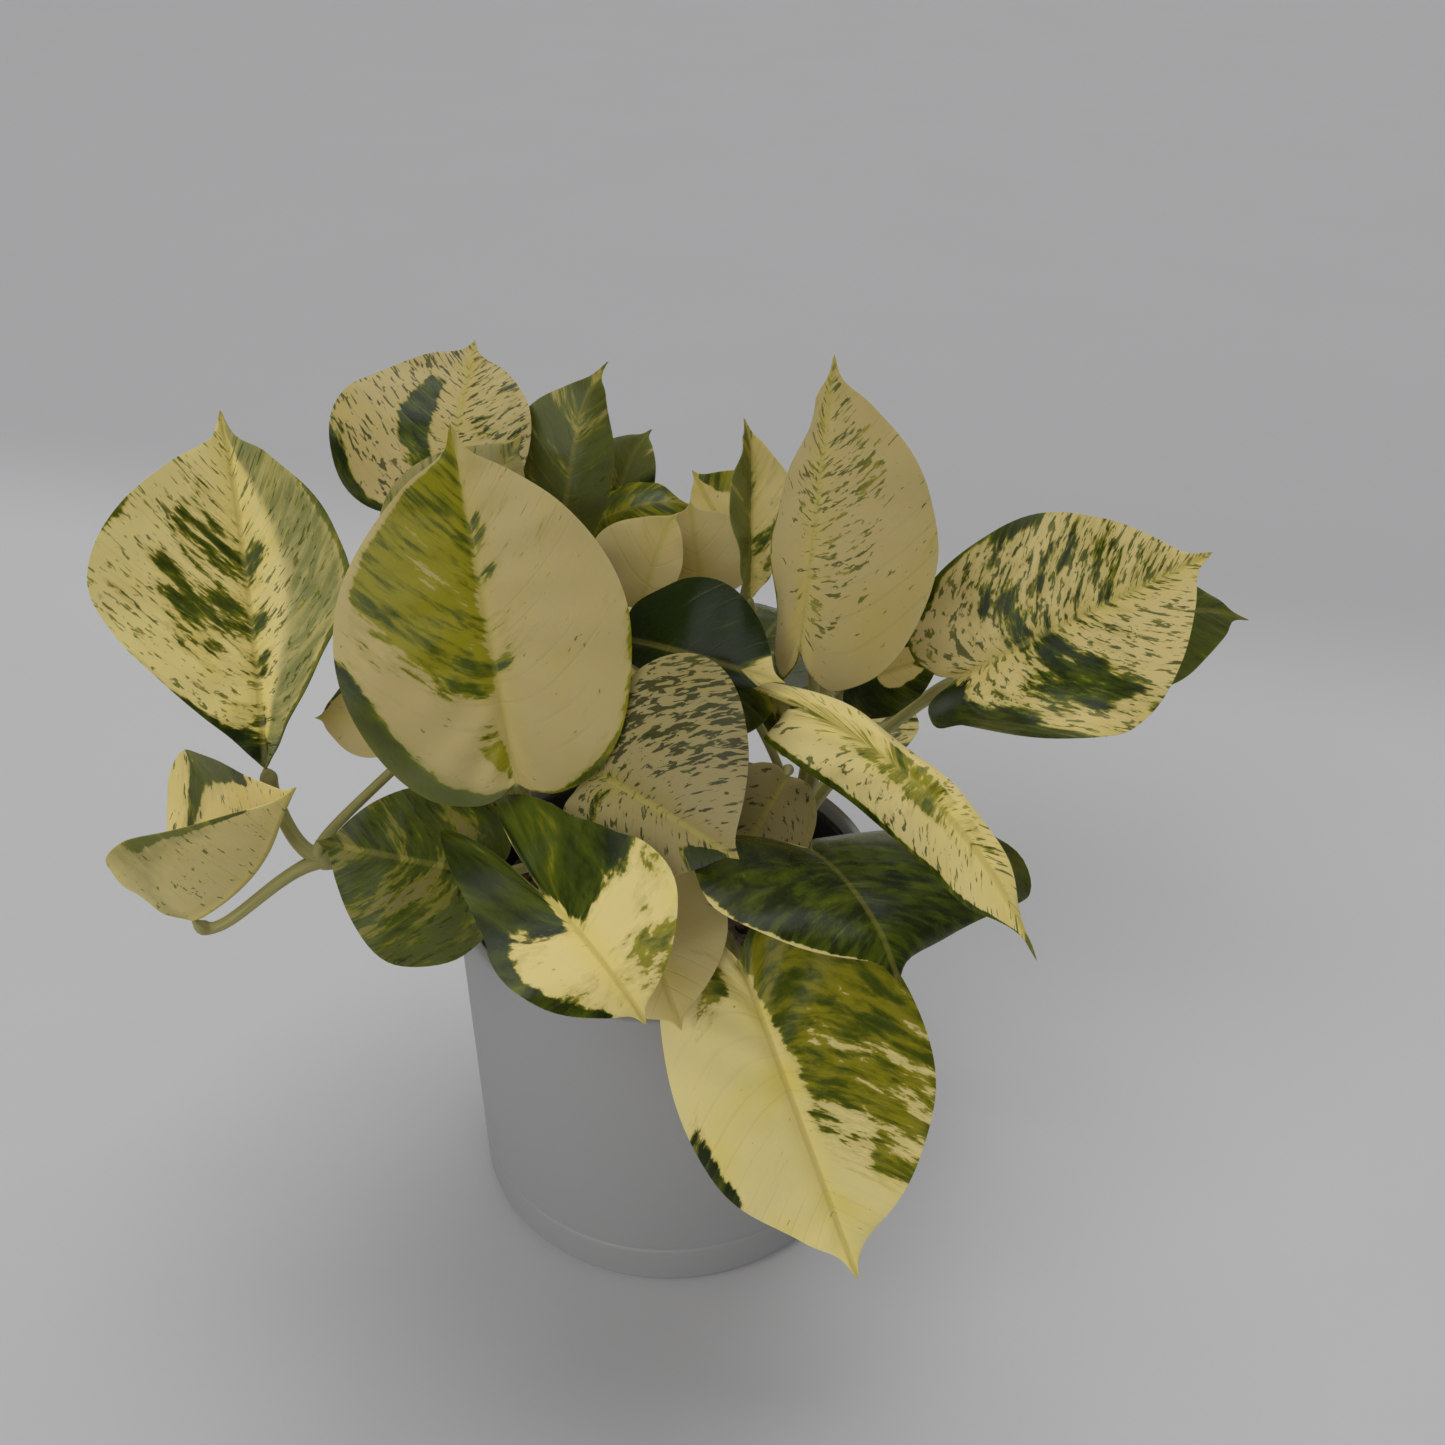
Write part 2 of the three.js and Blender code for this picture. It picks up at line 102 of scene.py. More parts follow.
# at: joint, right / back / above the rim; reach: joint to point; face: upper side;
# half: half widths; fold, curl, furl: degrees of each half at the midrib, on to the
# margin, and of the basal lobes; bow, sway: arch of the midrib; tip: bend of the point;
# rise: degrees the basal lobes bend up behind the joint, over the length given by bend.
LEAVES = {
    "leaf_01": dict(
        vine=0, at=(-97, -30, 57), reach=(-8, 42, 76), face=(0.1, -0.85, 0.45), half=(36, 29),
        fold=(8, 14), curl=(12, 20), tip=(0, 3), lobe=0, bow=-4,
    ),
    "leaf_02": dict(
        vine=0, at=(-116, -48, 24), reach=(31, -4, 45), face=(-0.8, -0.15, 0.6), half=(36, 36),
        fold=(38, 60), curl=(14, 20), tip=(0, -3), lobe=0.6, bow=-6,
    ),
    "leaf_03": dict(
        vine=1, at=(-33, -44, 63), reach=(-14, 40, 73), face=(0.1, -0.85, 0.5), half=(36, 33),
        fold=(6, 8), curl=(-14, -10), tip=(0, 4), arrive=(0.2, 0.9, 0), lobe=0.8, bow=2,
    ),
    "leaf_04": dict(
        vine=3, at=(-53, 10, 110), reach=(3, 46, 24), face=(0, -0.5, 0.87), half=(31, 19),
        fold=(4, 8), curl=(10, -20), tip=(0, 2), lobe=1, bow=4,
    ),
    "leaf_05": dict(
        vine=1, at=(-58, -4, 92), reach=(25, 18, 34), face=(0, -0.75, 0.65), half=(20, 14),
        fold=(4, 8), curl=(0, 0), tip=(0, 2), lobe=1, bow=2,
    ),
    "leaf_06": dict(
        vine=3, at=(-27, 16, 88), reach=(10, 23, 48), face=(-0.4, -0.8, 0.4), half=(19, 11),
        fold=(5, -30), curl=(10, -10), tip=(6, 4), lobe=0.5, bow=3,
    ),
    "leaf_07": dict(
        vine=3, at=(-18, 57, 79), reach=(12, 10, 28), face=(-0.3, -0.8, 0.5), half=(12, 12),
        fold=(15, 15), curl=(0, 0), tip=(2, 0), lobe=0.5, bow=2,
    ),
    "leaf_08": dict(
        vine=3, at=(-22, 42, 87), reach=(30, 4, 6), face=(0, -0.5, 0.87), half=(13, 10),
        fold=(-10, -10), curl=(-25, -10), tip=(0, -2), lobe=0.5, bow=5,
    ),
    "leaf_09": dict(
        vine=4, at=(-5, 0, 86), reach=(8, 16, 19), face=(0, -0.75, 0.65), half=(16, 7),
        fold=(5, 5), curl=(0, -15), tip=(2, 1), lobe=0.7, bow=2,
    ),
    "leaf_10": dict(
        vine=4, at=(10, 18, 80), reach=(-3, 10, 22), face=(0.1, -0.8, 0.6), half=(14, 17),
        fold=(5, 5), curl=(0, 0), tip=(0, 1), lobe=0.7, bow=2,
    ),
    "leaf_11": dict(
        vine=4, at=(22, 38, 74), reach=(-15, 14, 26), face=(0.3, -0.8, 0.5), half=(8, 24),
        fold=(5, 10), curl=(0, 10), tip=(0, 1), lobe=0.7, bow=2,
    ),
    "leaf_12": dict(
        vine=4, at=(23, 8, 84), reach=(0, 18, 42), face=(0, -0.8, 0.5), half=(8, 14),
        fold=(45, 40), curl=(10, 0), tip=(-2, 3), lobe=0.2, bow=-3,
    ),
    "leaf_13": dict(
        vine=4, at=(-9, -12, 84), reach=(40, -22, 0), face=(0, -0.75, 0.65), half=(19, 8),
        fold=(8, 8), curl=(-10, -10), tip=(0, 2), lobe=0.6, bow=4,
    ),
    "leaf_14": dict(
        vine=5, at=(34, -24, 88), reach=(7, 30, 61), face=(0.1, -0.85, 0.5), half=(16, 30),
        fold=(-55, 6), curl=(-20, -14), tip=(0, 4), arrive=(0, 0.9, -0.35), lobe=1.8, bow=3,
    ),
    "leaf_15": dict(
        vine=5, at=(19, -22, 80), reach=(-2, -4, -19), face=(0, -0.8, 0.6), half=(10, 17),
        fold=(-5, -5), curl=(-20, -20), tip=(0, 1), arrive=(-0.4, 0.6, 0), lobe=3, bow=2,
    ),
    "leaf_16": dict(
        vine=5, at=(75, -10, 71), reach=(60, 6, 32), face=(-0.1, -0.75, 0.65), half=(29, 32),
        fold=(4, 6), curl=(-10, 12), furl=(0, 90), tip=(0, 2), lobe=1.4, bow=4,
    ),
    "leaf_17": dict(
        vine=5, at=(104, 20, 66), reach=(54, 8, 5), face=(-0.1, -0.7, 0.7), half=(12, 20),
        fold=(4, 4), curl=(0, -10), tip=(5, 2), lobe=0.6, bow=3,
    ),
    "leaf_18": dict(
        vine=5, at=(50, 23, 47), reach=(27, -8, 16), face=(0, -0.7, 0.7), half=(13, 12),
        fold=(4, 4), curl=(0, -10), tip=(0, 2), lobe=0.8, bow=3,
    ),
    "leaf_19": dict(
        vine=5, at=(35, -38, 80), reach=(50, -47, -35), face=(-0.3, -0.8, 0.5), half=(7, 15),
        fold=(-25, -4), curl=(-30, -30), furl=(0, 20), rise=(0, -170), tip=(0, 2),
        arrive=(-0.1, 0.9, -0.2), lobe=2.8, bow=4, sway=-8, bend=14,
    ),
    "leaf_20": dict(
        vine=2, at=(37, -44, 43), reach=(18, -40, -2), face=(0, -0.05, 1), half=(58, 36),
        fold=(-10, 16), curl=(-26, -10), furl=(26, 20), tip=(0, -4), arrive=(0.2, 0.9, 0),
        lobe=5, bow=5,
    ),
    "leaf_21": dict(
        vine=2, at=(-14, -40, 63), reach=(34, -26, -6), face=(0.1, -0.72, 0.68), half=(36, 18),
        fold=(26, 4), curl=(-12, -12), tip=(0, 2), lobe=1, bow=3,
    ),
    "leaf_23": dict(
        vine=2, at=(20, -61, 22), reach=(29, -34, -74), face=(0.1, -0.85, 0.5), half=(37, 27),
        fold=(4, 4), curl=(-10, -16), tip=(0, 3), arrive=(0.1, 0.9, 0), lobe=1.4, bow=4,
    ),
    "leaf_24": dict(
        vine=1, at=(-42, -40, 32), reach=(-41, -4, 14), face=(-0.1, -0.8, 0.6), half=(26, 19),
        fold=(4, 4), curl=(-14, -10), tip=(0, 2), lobe=1, bow=4,
    ),
    "leaf_25": dict(
        vine=1, at=(-25, -67, 48), reach=(24, -26, -14), face=(0.1, -0.5, 0.86), half=(25, 21),
        fold=(20, 16), curl=(4, -6), furl=(12, 12), rise=(38, 28), tip=(0, -2),
        arrive=(0.1, 0.9, 0), lobe=12, bow=4,
    ),
    "leaf_26": dict(
        vine=1, at=(-39, -26, 40), reach=(-15, -4, 10), face=(0, -0.75, 0.65), half=(8, 9),
        fold=(4, 4), curl=(0, 0), tip=(0, 1), lobe=1, bow=1,
    ),
    "leaf_27": dict(
        vine=2, at=(-8, -47, 38), reach=(14, -28, -25), face=(0, -0.7, 0.7), half=(20, 24),
        fold=(4, 4), curl=(-10, -10), tip=(0, 1), lobe=1, bow=3,
    ),
    "leaf_28": dict(
        vine=2, at=(32, -18, 46), reach=(-16, -16, -22), face=(0.1, -0.8, 0.6), half=(14, 13),
        fold=(4, 4), curl=(-8, -8), tip=(0, 1), lobe=0.8, bow=2,
    ),
    "leaf_29": dict(
        vine=0, at=(-60, -14, 64), reach=(-28, 2, -4), face=(0, -0.7, 0.7), half=(12, 11),
        fold=(4, 4), curl=(0, 0), tip=(0, 1), lobe=0.8, bow=3,
    ),
    "leaf_31": dict(
        vine=3, at=(-24, 46, 40), reach=(-22, 58, 2), face=(-0.1, 0.2, 0.97), half=(28, 28),
        fold=(6, 6), curl=(-12, -12), tip=(0, -2), lobe=1.4, bow=6,
    ),
    "leaf_32": dict(
        vine=4, at=(22, 48, 36), reach=(20, 56, -10), face=(0.1, 0.3, 0.95), half=(26, 26),
        fold=(6, 6), curl=(-12, -12), tip=(0, -2), lobe=1.4, bow=6,
    ),
    "leaf_33": dict(
        vine=3, at=(-52, 26, 30), reach=(-44, 34, -14), face=(-0.3, 0.2, 0.93), half=(25, 25),
        fold=(6, 6), curl=(-12, -12), tip=(0, -2), lobe=1.4, bow=6,
    ),
    "leaf_34": dict(
        vine=5, at=(44, 36, 20), reach=(18, 48, -10), face=(0.3, 0.2, 0.93), half=(25, 25),
        fold=(6, 6), curl=(-12, -12), tip=(0, -2), lobe=1.4, bow=6,
    ),
}

# How each blade is marbled. green, dark, speck and silver are shares from 0 to 1 over
# the whole blade; a patch is (share, value, along from, to, across from, to), where
# along is 0 at the joint and 1 at the point and across is -1 left and 1 right.
# pale multiplies the cream of a blade and is painted light and shade: below 1 painted shade on a blade that
# sits in shade, above 1 painted light on a brightly lit blade.
MARBLING = {
    "leaf_01": dict(green=0.14, dark=0.3, speck=0.6, silver=0.0, pale=1.15, patches=[
        ("green", 0.46, 0.1, 0.75, -0.6, 0.2), ("silver", 1.0, -0.3, 0.95, 0.38, 1.2),
        ("green", 0.16, -0.3, 0.95, 0.45, 1.2), ("green", 1.0, -0.1, 0.55, 0.95, 1.2),
        ("silver", 0.1, -0.1, 0.55, 0.95, 1.2), ("green", 0.95, -0.4, 0.08, -1.2, 1.2),
        ("dark", 0.85, -0.4, 0.1, -1.2, 1.2), ("green", 0.9, -0.4, 0.1, -1.2, -0.9),
        ("green", 0.9, 0.36, 0.5, -1.2, -0.95),
    ]),
    "leaf_02": dict(green=0.0, dark=0.6, speck=0.45, silver=0.1, pale=1.1, patches=[
        ("green", 0.95, 0.05, 0.6, -1.2, -0.65), ("dark", 0.8, 0.05, 0.65, -1.2, -0.6),
        ("silver", 0.45, 0.05, 0.45, -1.2, -0.6), ("green", 0.9, 0.1, 0.7, 0.86, 1.2),
        ("dark", 0.3, -0.1, 0.6, 0.2, 1.2), ("silver", 0.6, 0.0, 0.5, 0.7, 1.2),
    ]),
    "leaf_03": dict(green=0.1, dark=0.1, speck=0.3, silver=0.0, pale=0.72, patches=[
        ("green", 0.8, 0.26, 1.3, -0.92, 0.0), ("dark", 0.04, 0.2, 1.3, -0.95, 0.2),
        ("green", 0.36, 0.3, 0.9, 0.0, 0.16), ("green", 0.72, 0.04, 0.14, -0.42, -0.1),
        ("dark", -0.1, -0.05, 0.22, -0.6, 0.1), ("green", 0.95, -0.5, 0.16, -1.2, -0.82),
        ("silver", 0.6, -0.5, 0.1, -1.2, -0.74), ("dark", 0.7, -0.5, 0.2, -1.2, -0.84),
        ("green", 0.9, -0.1, 0.2, 0.97, 1.2),
    ]),
    "leaf_04": dict(green=0.1, dark=0.7, speck=0.7, silver=0.0, pale=0.7, patches=[
        ("green", 0.85, 0.1, 0.6, -0.48, -0.2), ("green", 0.9, -0.5, 0.0, -1.2, -0.9),
        ("green", 0.3, 0.2, 0.9, 0.2, 1.2),
    ]),
    "leaf_05": dict(green=0.3, dark=0.3, speck=0.4, silver=0.5, pale=0.6, patches=[]),
    "leaf_06": dict(green=0.66, dark=0.48, speck=0.4, silver=0.4, pale=0.7, patches=[]),
    "leaf_07": dict(green=0.7, dark=0.4, speck=0.2, silver=0.6, patches=[
        ("dark", 0.9, -0.2, 0.4, -1.2, 1.2), ("silver", 0.0, -0.2, 0.4, -1.2, 1.2),
    ]),
    "leaf_08": dict(green=0.85, dark=0.2, speck=0.2, silver=0.0, patches=[]),
    "leaf_09": dict(green=0.1, dark=0.1, speck=0.2, silver=0.0, pale=0.75, patches=[]),
    "leaf_10": dict(green=0.12, dark=0.0, speck=0.25, silver=0.0, pale=0.75, patches=[]),
    "leaf_11": dict(green=0.2, dark=0.4, speck=0.3, silver=0.0, patches=[
        ("green", 0.85, -0.2, 0.9, 0.3, 1.2), ("dark", 0.2, -0.2, 1.0, 0.2, 1.2),
    ]),
    "leaf_12": dict(green=0.3, dark=0.4, speck=0.3, silver=0.2, patches=[
        ("silver", 0.8, -0.2, 1.0, -1.2, 0.0), ("green", 0.6, -0.2, 1.0, -1.2, 0.0),
    ]),
    # A dark share above 1 deepens this blade's green: partly its own deep green, partly painted shade where
    # it lies in shade.
    "leaf_13": dict(green=1.0, dark=1.15, speck=0.3, silver=0.0, patches=[
        ("green", 0.12, 0.76, 1.3, -1.2, 1.2), ("dark", 0.3, 0.74, 1.3, -1.2, 1.2),
    ]),
    "leaf_14": dict(green=0.02, dark=0.3, speck=0.4, silver=0.0, pale=0.7, patches=[
        ("speck", 0.8, 0.4, 1.0, -0.5, 0.7), ("speck", 0.7, 0.0, 0.4, -0.2, 0.5),
        ("green", 0.9, -0.1, 0.4, -1.2, -0.95),
    ]),
    "leaf_15": dict(green=0.95, dark=0.3, speck=0.25, silver=0.0, patches=[]),
    "leaf_16": dict(green=0.3, dark=0.48, speck=0.75, silver=0.0, pale=0.85, patches=[
        ("green", 0.52, 0.1, 0.45, 0.3, 0.75), ("green", 0.12, 0.45, 1.0, 0.5, 1.2),
        ("green", 0.85, -0.2, 0.3, -1.2, -0.95), ("green", 0.4, 0.2, 0.8, -0.7, 0.3),
        ("green", 0.97, -0.8, -0.06, 0.25, 1.2), ("green", 0.97, -0.8, 0.1, 0.6, 1.2),
        ("dark", 0.9, -0.8, 0.1, 0.25, 1.2),
    ]),
    "leaf_17": dict(green=0.95, dark=0.6, speck=0.2, silver=0.25, patches=[]),
    "leaf_18": dict(green=0.9, dark=0.8, speck=0.2, silver=0.0, patches=[
        ("green", 0.1, 0.35, 0.7, -0.5, 0.4),
    ]),
    "leaf_19": dict(green=0.1, dark=0.45, speck=0.6, silver=0.0, pale=1.05, patches=[
        ("green", 0.5, 0.0, 0.6, -0.6, 0.25), ("dark", 0.0, 0.0, 0.6, -1.2, 0.5),
        ("green", 0.9, -0.1, 0.12, 0.5, 1.2), ("green", 0.85, 0.1, 0.9, 0.9, 1.2),
        ("green", 0.7, 0.9, 1.2, -1.2, 1.2),
    ]),
    "leaf_20": dict(green=1.0, dark=0.66, speck=0.0, silver=0.0, lean=0.3, patches=[
        ("green", 0.05, -0.3, 0.04, 0.35, 1.2), ("green", 0.64, 0.0, 0.26, -0.95, -0.5),
        ("silver", 0.4, 0.0, 0.26, -0.95, -0.5), ("green", 0.66, -0.3, -0.1, -0.95, -0.5),
        ("green", 0.1, 0.2, 0.8, 0.96, 1.2), ("green", 0.78, 0.1, 0.3, 0.3, 0.8),
    ]),
    # Its slight silver wash greys it as painted shade, together with the painted shade of its low pale.
    "leaf_21": dict(green=0.1, dark=0.95, speck=0.62, silver=0.12, pale=0.48, patches=[
        ("green", 0.95, 0.6, 0.9, 0.3, 1.2), ("speck", 0.95, -0.2, 0.4, -1.2, -0.3),
        ("green", 0.3, 0.0, 0.35, -0.2, 0.8),
    ]),
    "leaf_23": dict(green=0.03, dark=0.3, speck=0.2, silver=0.0, pale=1.2, patches=[
        ("green", 0.66, -0.6, 0.6, -1.2, -0.1), ("dark", 0.12, -0.6, 0.65, -0.95, 0.05),
        ("green", 0.3, 0.4, 0.6, -0.5, -0.1), ("green", 0.42, -0.2, 0.1, -0.2, 0.5),
        ("green", 0.95, 0.3, 0.48, 0.86, 1.2), ("dark", 0.85, 0.25, 0.55, 0.75, 1.2),
        ("green", 0.55, 0.1, 0.2, 0.45, 0.75), ("dark", 0.0, -0.2, 0.3, 0.0, 0.8),
    ]),
    "leaf_24": dict(green=0.66, dark=0.5, speck=0.7, silver=0.15, pale=0.3, patches=[
        ("silver", 0.4, -0.3, 0.2, -1.2, 0.0),
    ]),
    "leaf_25": dict(green=0.27, dark=-0.3, speck=0.2, silver=0.0, pale=1.1, lean=0.0, patches=[
        ("green", 0.4, 0.5, 0.95, -1.2, -0.4), ("dark", -0.1, 0.45, 1.0, -1.2, -0.2),
        ("green", 1.0, -0.2, 0.34, -1.2, -0.1), ("green", 1.0, -0.2, 0.3, 0.1, 1.2),
        ("dark", 0.6, -0.2, 0.4, -1.2, 1.2), ("green", 1.0, 0.2, 0.8, 0.84, 1.2),
        ("dark", 0.6, 0.2, 0.9, 0.7, 1.2), ("green", 0.0, -0.1, 0.08, -1.2, -0.88),
    ]),
    "leaf_26": dict(green=0.3, dark=0.6, speck=0.8, silver=0.1, pale=0.5, patches=[]),
    "leaf_27": dict(green=0.04, dark=0.3, speck=0.2, silver=0.0, pale=0.95, patches=[]),
    "leaf_28": dict(green=0.14, dark=0.7, speck=0.6, silver=0.15, pale=0.5, patches=[]),
    "leaf_29": dict(green=0.15, dark=0.4, speck=0.2, silver=0.0, pale=0.6, patches=[
        ("green", 1.0, 0.0, 1.0, 0.8, 1.2),
    ]),
    "leaf_31": dict(green=0.4, dark=0.6, speck=0.5, silver=0.2, patches=[]),
    "leaf_32": dict(green=0.75, dark=0.7, speck=0.4, silver=0.2, patches=[]),
    "leaf_33": dict(green=0.35, dark=0.5, speck=0.4, silver=0.1, patches=[]),
    "leaf_34": dict(green=0.45, dark=0.6, speck=0.5, silver=0.1, patches=[]),
}

# Stems, as points right / back / above the potting mix.
VINES = {
    "vine_trailing": [(-40, -6, 0), (-50, -14, 24), (-68, -26, 38), (-84, -37, 45)],
    "vine_left": [(-24, -14, 0), (-27, -15, 14), (-29, -18, 30)],
    "vine_front": [(4, -26, 0), (5, -29, 12), (8, -33, 24)],
    "vine_back": [(-14, 26, 0), (-15, 27, 18), (-18, 28, 38)],
    "vine_centre": [(6, 12, 0), (7, 12, 18), (8, 13, 38)],
    "vine_right": [(30, -4, 0), (33, -4, 16), (37, -5, 34)],
}

# ---------------------------------------------------------------- settings a user can change


def sizes_property(label, text, default, unit="LENGTH"):
    """A size in metres with a plain label."""
    return bpy.props.FloatProperty(name=label, description=text, default=default, unit=unit, precision=5)


def colour_property(label, text, default):
    """A linear colour with a plain label."""
    return bpy.props.FloatVectorProperty(
        name=label, description=text, default=default, size=3, min=0, max=1, subtype="COLOR"
    )


class PothosSizes(bpy.types.PropertyGroup):
    """Sizes of the plant's own details."""

    blade_thickness: sizes_property("Blade thickness", "Thickness in the middle of a blade", 0.5 * MM)
    margin_wave: sizes_property("Margin wave", "How far a large blade's margin ripples", 1.1 * MM)
    groove_depth: sizes_property("Midrib groove", "Depth of the groove along a blade's midrib", 0.55 * MM)
    rib_height: sizes_property("Midrib ridge", "Height of the ridge under a blade", 1.0 * MM)
    stem_radius: sizes_property("Stem radius", "Radius of a vine's main stem", 2.7 * MM)
    stalk_radius: sizes_property("Stalk radius", "Radius of a large blade's stalk", 1.9 * MM)
    crumb_size: sizes_property("Crumb size", "Radius of the largest crumbs of potting mix", 2.6 * MM)
    crumb_count: bpy.props.IntProperty(name="Crumbs", description="Number of crumbs on the mix", default=520)


class PothosColours(bpy.types.PropertyGroup):
    """Colours of the plant and its pots."""

    cream: colour_property("Cream", "Pale part of a blade", (0.88, 0.705, 0.305))
    yellow: colour_property("Yellow", "Warm part of a blade beside the midrib", (0.8, 0.62, 0.09))
    olive: colour_property("Olive", "Yellow-green where green fades into cream", (0.36, 0.32, 0.012))
    green: colour_property("Green", "Young green of a blade", (0.085, 0.115, 0.005))
    deep_green: colour_property("Deep green", "Darkest green of a blade", (0.014, 0.026, 0.002))
    silver: colour_property("Silver", "Grey-green where cream and green mix", (0.27, 0.29, 0.085))
    stalk: colour_property("Stalk", "Stalks and stems", (0.52, 0.47, 0.17))
    # The pot colour is its white glaze darkened to grey: partly its own glaze, partly painted shade for the
    # shade it stands in under the leaves.
    pot: colour_property("Pot", "White glaze of the cover pot", (0.39, 0.39, 0.385))
    liner: colour_property("Liner", "Black plastic of the inner pot", (0.012, 0.012, 0.013))
    mix: colour_property("Potting mix", "Moist potting mix", (0.035, 0.022, 0.014))
    floor: colour_property("Floor", "Plain floor", (0.7, 0.7, 0.71))


# ---------------------------------------------------------------- shader building


def fill_socket(tree, socket, value):
    """Set a socket's value, or link another node's output to it."""
    if isinstance(value, bpy.types.NodeSocket):
        tree.links.new(value, socket)
    elif socket.type == "RGBA" and len(value) == 3:
        socket.default_value = (*value, 1)
    else:
        socket.default_value = value


def add_node(tree, kind, settings=None, **sockets):
    """A shader node with its settings and socket values; a value may be another node's output."""
    node = tree.nodes.new(kind)
    for key, value in (settings or {}).items():
        setattr(node, key, value)
    for key, value in sockets.items():
        label = int(key[3:]) if key.startswith("at_") else key.replace("_", " ")
        fill_socket(tree, node.inputs[label], value)
    return node


def maths(tree, operation, first, second=0.0, third=0.0, clamp=False):
    """One arithmetic step; returns its output."""
    settings = {"operation": operation, "use_clamp": clamp}
    return add_node(tree, "ShaderNodeMath", settings, at_0=first, at_1=second, at_2=third).outputs[0]


def blend_colours(tree, share, first, second, how="MIX"):
    """Mix two colours by a share; returns the colour."""
    settings = {"data_type": "RGBA", "blend_type": how}
    return add_node(tree, "ShaderNodeMix", settings, at_0=share, at_6=first, at_7=second).outputs[2]


def soft_step(tree, value, low, high):
    """0 below low, 1 above high and smooth between."""
    settings = {"interpolation_type": "SMOOTHSTEP"}
    step = add_node(tree, "ShaderNodeMapRange", settings, Value=value, From_Min=low, From_Max=high)
    return step.outputs[0]


def noise(tree, place, scale, detail=2.0, rough=0.55, distortion=0.0):
    """Smooth noise about 0.5 at a place."""
    return add_node(
        tree, "ShaderNodeTexNoise", Vector=place, Scale=scale, Detail=detail, Roughness=rough,
        Distortion=distortion,
    ).outputs["Fac"]


def stretched(tree, place, stretch, shift=(0, 0, 0)):
    """A place scaled along each axis, for streaks."""
    settings = {"operation": "MULTIPLY_ADD"}
    return add_node(tree, "ShaderNodeVectorMath", settings, at_0=place, at_1=stretch, at_2=shift).outputs[0]


def named_value(tree, name, output="Fac"):
    """A value stored on the mesh."""
    settings = {"attribute_type": "GEOMETRY", "attribute_name": name}
    return add_node(tree, "ShaderNodeAttribute", settings).outputs[output]


def start_group(name, inputs, outputs):
    """An empty shader node group with named inputs and outputs."""
    group = bpy.data.node_groups.new(name, "ShaderNodeTree")
    for label, kind, default in inputs:
        socket = group.interface.new_socket(label, in_out="INPUT", socket_type="NodeSocket" + kind)
        if default is not None:
            socket.default_value = (*default, 1) if kind == "Color" else default
    for label, kind in outputs:
        group.interface.new_socket(label, in_out="OUTPUT", socket_type="NodeSocket" + kind)
    return group, group.nodes.new("NodeGroupInput").outputs, group.nodes.new("NodeGroupOutput").inputs


def place_group(tree, group, **sockets):
    """A group placed in a material with its own values."""
    node = tree.nodes.new("ShaderNodeGroup")
    node.node_tree = group
    for key, value in sockets.items():
        fill_socket(tree, node.inputs[key.replace("_", " ")], value)
    return node.outputs


